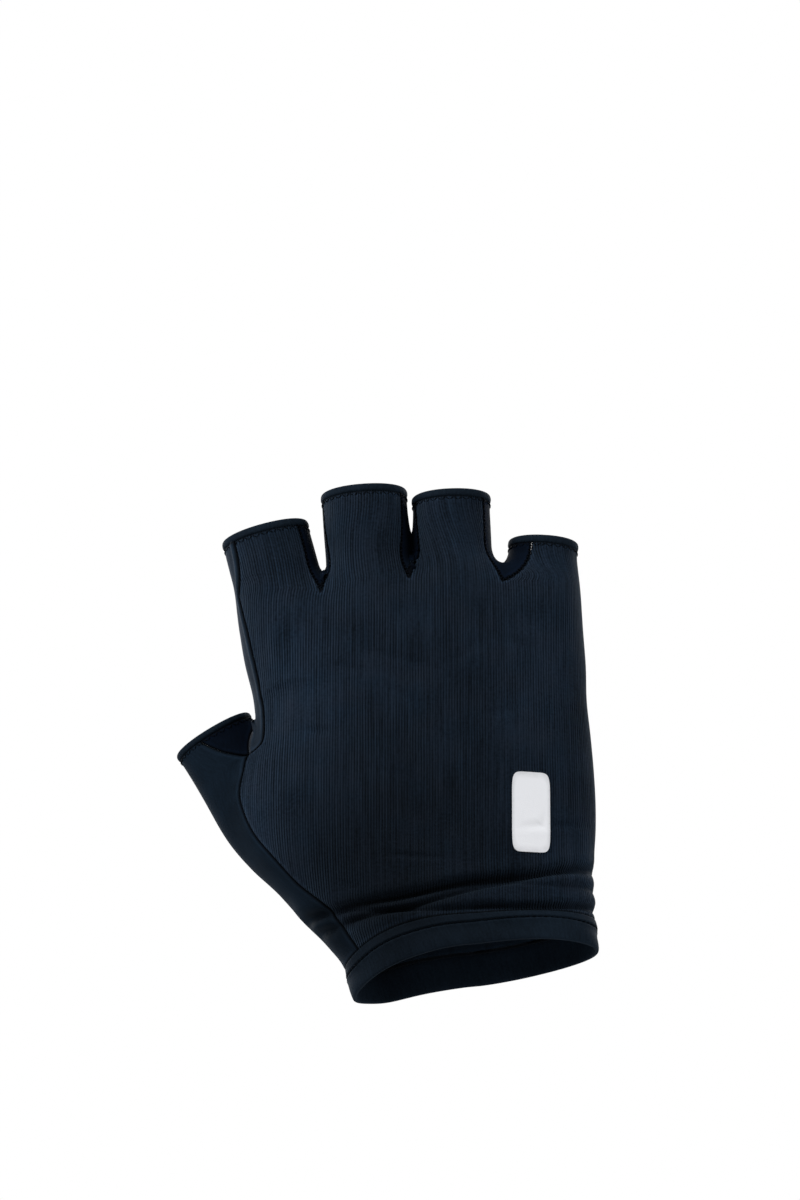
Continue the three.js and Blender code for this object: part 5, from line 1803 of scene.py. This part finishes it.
def stitches(path, pitch, length, slant, thread, lift, closed=False):
    """Short thread stitches along a path: closed grids of points, one row of grids.

    Stitch k is centred at k * pitch, turned by the slant, whose sign alternates. Its line is
    arched by lift * sin and its radius goes as sin^0.45 along it.
    """
    fine = on_form(resampled(path, pitch))
    normal = normal_of(fine)
    if closed:
        fine, normal = fine[:-1], normal[:-1]
    tangent = np.gradient(fine, axis=0)
    tangent /= np.linalg.norm(tangent, axis=1, keepdims=True)
    side = np.cross(normal, tangent)
    sign = np.where(np.arange(len(fine)) % 2 == 0, 1.0, -1.0)[:, None]
    turn = math.radians(slant)
    ahead = tangent * math.cos(turn) + side * math.sin(turn) * sign
    beside = np.cross(normal, ahead)
    t = np.linspace(0, 1, STITCH_RINGS)
    bulge = np.sin(np.pi * np.clip(t, 0.02, 0.98)) ** 0.45 * thread / 2
    ring = np.linspace(0, 2 * np.pi, STITCH_SIDES, endpoint=False)[:, None]
    line = fine[:, None] + ahead[:, None] * ((t - 0.5) * length)[None, :, None]
    line = line + normal[:, None] * (lift * np.sin(np.pi * t))[None, :, None]
    out = beside[:, None, None] * np.cos(ring) + normal[:, None, None] * np.sin(ring)
    return line[:, :, None] + bulge[None, :, None, None] * out


def stitch_mesh(name, groups):
    """One mesh of many stitches, each a tube of rings whose ends are closed by two quads."""
    points = np.concatenate(groups)
    count, rings, sides = points.shape[:3]
    ids = np.arange(rings * sides).reshape(rings, sides)
    quads = np.stack(
        [ids[:-1], np.roll(ids, -1, 1)[:-1], np.roll(ids, -1, 1)[1:], ids[1:]], axis=-1
    ).reshape(-1, 4)
    ends = np.array([ids[0, [0, 5, 4, 3]], ids[0, [3, 2, 1, 0]],
                     ids[-1, [0, 1, 2, 3]], ids[-1, [3, 4, 5, 0]]])
    one = np.concatenate([quads, ends])
    faces = (one[None] + (np.arange(count) * rings * sides)[:, None, None]).reshape(-1, 4)
    flat = points.reshape(-1, 3)
    along = np.tile(np.repeat(np.linspace(0, 1, rings), sides), count)
    about = np.tile(np.arange(sides) / sides, count * rings)
    uv = np.stack([along, about * UV_SPAN], axis=-1)[faces].reshape(-1, 2)
    a, b, c = (flat[faces[:, i]] for i in range(3))
    middle = points.reshape(count, -1, 3).mean(1).repeat(len(one), axis=0)
    if (np.cross(b - a, c - a) * (a - middle)).sum() < 0:
        faces = faces[:, ::-1]
    return put_mesh(name, flat, faces, uv)


def seam_paths():
    """The sewn seams by name, as points along them."""
    rows = np.linspace(0, PALM_ROWS, 200)
    low = rows[rows <= THUMB_CROTCH_ROW]
    high = np.linspace(THUMB_CROTCH_ROW, PALM_ROWS, 80)
    share = np.linspace(0, 1, 40)
    tab = {}
    for i, finger in enumerate(FINGERS):
        left = back_guides[i].point(TOP_ROW)
        right = back_guides[i + 1].point(TOP_ROW)
        tab[i, "left"] = finger_seam(i, left, finger["back_left"], share)
        tab[i, "right"] = finger_seam(i, right, finger["back_right"], share)
        guide = 3 - i
        low_right = palm_guides[guide].point(TOP_ROW)
        low_left = palm_guides[guide + 1].point(TOP_ROW)
        tab[i, "palm_right"] = finger_seam(i, low_right, finger["palm_right"], share)
        tab[i, "palm_left"] = finger_seam(i, low_left, finger["palm_left"], share)
    back = [
        np.concatenate([back_edge.point(high), tab[0, "left"][1:]]),
        *(np.concatenate([tab[i, "right"][::-1], tab[i + 1, "left"][1:]]) for i in range(3)),
    ]
    sides = [np.concatenate([side_seam.point(rows), tab[3, "right"][1:]])]
    front = [
        np.concatenate([tab[i, "palm_right"][::-1], tab[i + 1, "palm_left"][1:]])
        for i in range(3)
    ]
    thumbs = [back_edge.point(low), palm_edge.point(low)]
    web = [
        np.concatenate(
            [
                thumb_seam(thumb_crotch_back, THUMB_SEAM_BACK, share[::-1]),
                thumb_crotch_line(share[::-1])[1:],
                thumb_seam(thumb_crotch_palm, THUMB_SEAM_PALM, share)[1:],
            ]
        )
    ]
    return {"back": back, "sides": sides, "front": front, "thumb": thumbs, "web": web}


def hem_line(limb, down):
    """A closed line round an opening, a distance below its edge."""
    angles = np.linspace(0, 360, 181)
    return limb.point(-down + 0 * angles, angles)


class GLOVE_OT_stitching(bpy.types.Operator):
    """Lays the overlocked seam stitches and the hems' top stitches"""

    bl_idname = "glove.stitching"
    bl_label = "Stitching"

    def execute(self, context):
        sizes = context.scene.glove_sizes
        pitch, width = sizes.stitch_pitch / MM, sizes.stitch_width / MM
        thread = sizes.thread / MM
        seams = seam_paths()
        strip, *between = seams["back"]
        across = [stitches(strip, pitch * 0.8, width * 0.5, 12, thread * 0.8, 0.0)]
        for path in between + seams["sides"] + seams["front"]:
            across.append(stitches(path, pitch / 1.6, width * 0.8, 62, thread, 0.05))
        piece = stitch_mesh("seam_stitches", across)
        dress(piece, finish_named("sewing thread"), "hem_cloth")
        rows = []
        openings = [(limb, FINGER_HEM_HEIGHT) for limb in fingers] + [(thumb, THUMB_HEM_HEIGHT)]
        for limb, height in openings:
            path = hem_line(limb, height + 0.55)
            rows.append(stitches(path, pitch * 0.75, 1.2, 38, thread * 0.9, 0.1, closed=True))
        angles = np.linspace(0, 360, 361)
        path = palm.point(wrist_edge(angles) + WRIST_HEM_HEIGHT * HEM_GROOVE, angles)
        rows.append(stitches(path, pitch * 1.1, 1.3, 0, thread * 0.8, HEM_PROUD, closed=True))
        piece = stitch_mesh("hem_stitches", rows)
        dress(piece, finish_named("sewing thread"), "hem_cloth")
        return {"FINISHED"}


FILM_LIFT = 0.28  # of the reflective film over the cloth
FILM_POWER = 7.0  # of its outline, a superellipse
FILM_SHARP = 50.0  # degrees past which its edge is sharp


class GLOVE_OT_patch(bpy.types.Operator):
    """Lays the plain reflective patch on the back"""

    bl_idname = "glove.patch"
    bl_label = "Reflective patch"

    def execute(self, context):
        turn = np.linspace(0, 2 * np.pi, 96, endpoint=False)
        size = np.concatenate([np.linspace(0, 0.97, 16), [1.0, 1.0]])
        lift = FILM_LIFT + 0 * size
        lift[-1] -= 2 * FILM_LIFT
        x = PATCH_WIDTH / 2 * signed_power(np.cos(turn), 2 / FILM_POWER)
        z = PATCH_HEIGHT / 2 * signed_power(np.sin(turn), 2 / FILM_POWER)
        across = PATCH_ACROSS * PALM_WIDTH + size[:, None] * x
        up = PATCH_UP * PALM_LENGTH + size[:, None] * z
        base = cast_on_form(across, up, False)
        normal = normal_of(base)
        points = base + normal * (cloth_relief(base) + lift[:, None])[..., None]
        rings, sides = points.shape[:2]
        ids = np.arange(rings * sides).reshape(rings, sides)
        ids[0] = 0
        following = np.roll(ids, -1, axis=1)
        faces = np.stack([ids[:-1], ids[1:], following[1:], following[:-1]], axis=-1)
        faces = faces.reshape(-1, 4)
        uvs = np.stack([across.ravel()[faces], up.ravel()[faces]], axis=-1)
        inside = np.repeat(PATCH_WIDTH / 2 * (1 - size), sides)
        piece = put_mesh(
            "reflective_patch_film", points.reshape(-1, 3), faces, uvs, {"seam": inside}
        )
        piece.data.set_sharp_from_angle(angle=math.radians(FILM_SHARP))
        dress(piece, finish_named("reflective film"), "reflective_film", "reflective_patch")
        return {"FINISHED"}


# Camera of the photograph: elevation, millimetres in its height and the origin's place in it,
# right of and below its middle
VIEW_ELEVATION = -14.0
VIEW_HEIGHT = 318.0
VIEW_RIGHT = 21.2
VIEW_BELOW = 99.4
VIEW_DISTANCE = 2.5
FLOOR_LEVEL = -0.75


# Lights: name, place, side of the square in metres, power in watts
LIGHTS = (
    ("key", (-0.26, -0.26, 0.46), 0.22, 2.4),
    ("left", (-0.95, -0.3, 0.25), 0.6, 6.0),
    ("right", (0.95, -0.35, 0.3), 0.6, 7.0),
    ("back left", (-0.6, 0.9, 0.5), 0.8, 10.0),
    ("back right", (0.6, 0.9, 0.6), 0.8, 10.0),
)
LIT_PLACE = Vector((-0.02, 0, 0.07))
FLOOR_RADIUS = 9
SENSOR_WIDTH = 36


def put_in_scene(name, data):
    thing = bpy.data.objects.new(name, data)
    bpy.context.scene.collection.objects.link(thing)
    return thing


def turn_to(thing, direction):
    """Turns a light or camera so that it looks along a direction, with Z up."""
    thing.rotation_euler = direction.to_track_quat("-Z", "Y").to_euler()


def add_floor():
    mesh = bpy.data.meshes.new("floor")
    build = bmesh.new()
    bmesh.ops.create_circle(build, cap_ends=True, segments=96, radius=FLOOR_RADIUS)
    bmesh.ops.translate(build, verts=build.verts, vec=(0, 0, FLOOR_LEVEL))
    build.to_mesh(mesh)
    build.free()
    floor = put_in_scene("floor", mesh)
    material, tree = new_material("pale floor")
    shader = tree.add(
        "ShaderNodeBsdfPrincipled",
        {"Base Color": (0.86, 0.86, 0.86, 1), "Roughness": 0.8,
         "Emission Color": (1, 1, 1, 1), "Emission Strength": 0.12},
    )
    tree.add("ShaderNodeOutputMaterial", {"Surface": shader.outputs[0]})
    mesh.materials.append(material)


def add_world():
    """A world that is white to the camera and lights the glove only faintly."""
    world = bpy.data.worlds.new("studio")
    world.use_nodes = True
    world.node_tree.nodes.clear()
    tree = Tree(world.node_tree)
    seen = tree.add("ShaderNodeBackground", {"Color": (1, 1, 1, 1), "Strength": 1.0})
    cast = tree.add("ShaderNodeBackground", {"Color": (0.95, 0.97, 1, 1), "Strength": 0.16})
    path = tree.add("ShaderNodeLightPath").outputs["Is Camera Ray"]
    both = tree.add("ShaderNodeMixShader", {0: path, 1: cast.outputs[0], 2: seen.outputs[0]})
    tree.add("ShaderNodeOutputWorld", {"Surface": both.outputs[0]})
    bpy.context.scene.world = world


def add_lights():
    for name, place, size, power in LIGHTS:
        data = bpy.data.lights.new(name, "AREA")
        data.shape = "SQUARE"
        data.size = size
        data.energy = power
        light = put_in_scene(name, data)
        light.location = place
        turn_to(light, LIT_PLACE - Vector(place))


def add_camera():
    """The photograph's camera, from below and far off, with the origin at its place there."""
    tilt = math.radians(VIEW_ELEVATION)
    back = Vector((0, -math.cos(tilt), math.sin(tilt)))
    up = Vector((0, math.sin(tilt), math.cos(tilt)))
    middle = Vector((-VIEW_RIGHT * MM, 0, 0)) + up * (VIEW_BELOW * MM)
    data = bpy.data.cameras.new("camera")
    data.sensor_width = SENSOR_WIDTH
    data.lens = SENSOR_WIDTH * VIEW_DISTANCE / (VIEW_HEIGHT * MM)
    data.clip_end = 50
    camera = put_in_scene("camera", data)
    camera.location = middle + back * VIEW_DISTANCE
    turn_to(camera, -back)
    bpy.context.scene.camera = camera


class GLOVE_OT_stage(bpy.types.Operator):
    """Sets the pale floor, the soft lights and the camera"""

    bl_idname = "glove.stage"
    bl_label = "Stage"

    def execute(self, context):
        add_floor()
        add_world()
        context.scene.view_settings.view_transform = "Standard"
        add_lights()
        add_camera()
        return {"FINISHED"}


OPERATORS = (
    GLOVE_OT_stage,
    GLOVE_OT_finishes,
    GLOVE_OT_back_panel,
    GLOVE_OT_palm_panel,
    GLOVE_OT_thumb,
    GLOVE_OT_fourchettes,
    GLOVE_OT_finger_hems,
    GLOVE_OT_wrist_hem,
    GLOVE_OT_stitching,
    GLOVE_OT_patch,
)


class GLOVE_PT_panel(bpy.types.Panel):
    """Sizes, colours and pieces of the glove"""

    bl_idname = "GLOVE_PT_panel"
    bl_label = "Glove"
    bl_space_type = "VIEW_3D"
    bl_region_type = "UI"
    bl_category = "Glove"

    def draw(self, context):
        for group in (context.scene.glove_sizes, context.scene.glove_look):
            for key in group.bl_rna.properties.keys():
                if key not in ("rna_type", "name"):
                    self.layout.prop(group, key)
        for operator in OPERATORS:
            self.layout.operator(operator.bl_idname)


CLASSES = (GloveSizes, GloveLook, *OPERATORS, GLOVE_PT_panel)


def register():
    for item in CLASSES:
        bpy.utils.register_class(item)
    bpy.types.Scene.glove_sizes = bpy.props.PointerProperty(type=GloveSizes)
    bpy.types.Scene.glove_look = bpy.props.PointerProperty(type=GloveLook)


def unregister():
    del bpy.types.Scene.glove_look
    del bpy.types.Scene.glove_sizes
    for item in reversed(CLASSES):
        bpy.utils.unregister_class(item)


def main():
    register()
    bpy.ops.glove.stage()
    bpy.ops.glove.finishes()
    bpy.ops.glove.back_panel()
    bpy.ops.glove.palm_panel()
    bpy.ops.glove.thumb()
    bpy.ops.glove.fourchettes()
    bpy.ops.glove.finger_hems()
    bpy.ops.glove.wrist_hem()
    bpy.ops.glove.stitching()
    bpy.ops.glove.patch()


if __name__ == "__main__":
    main()
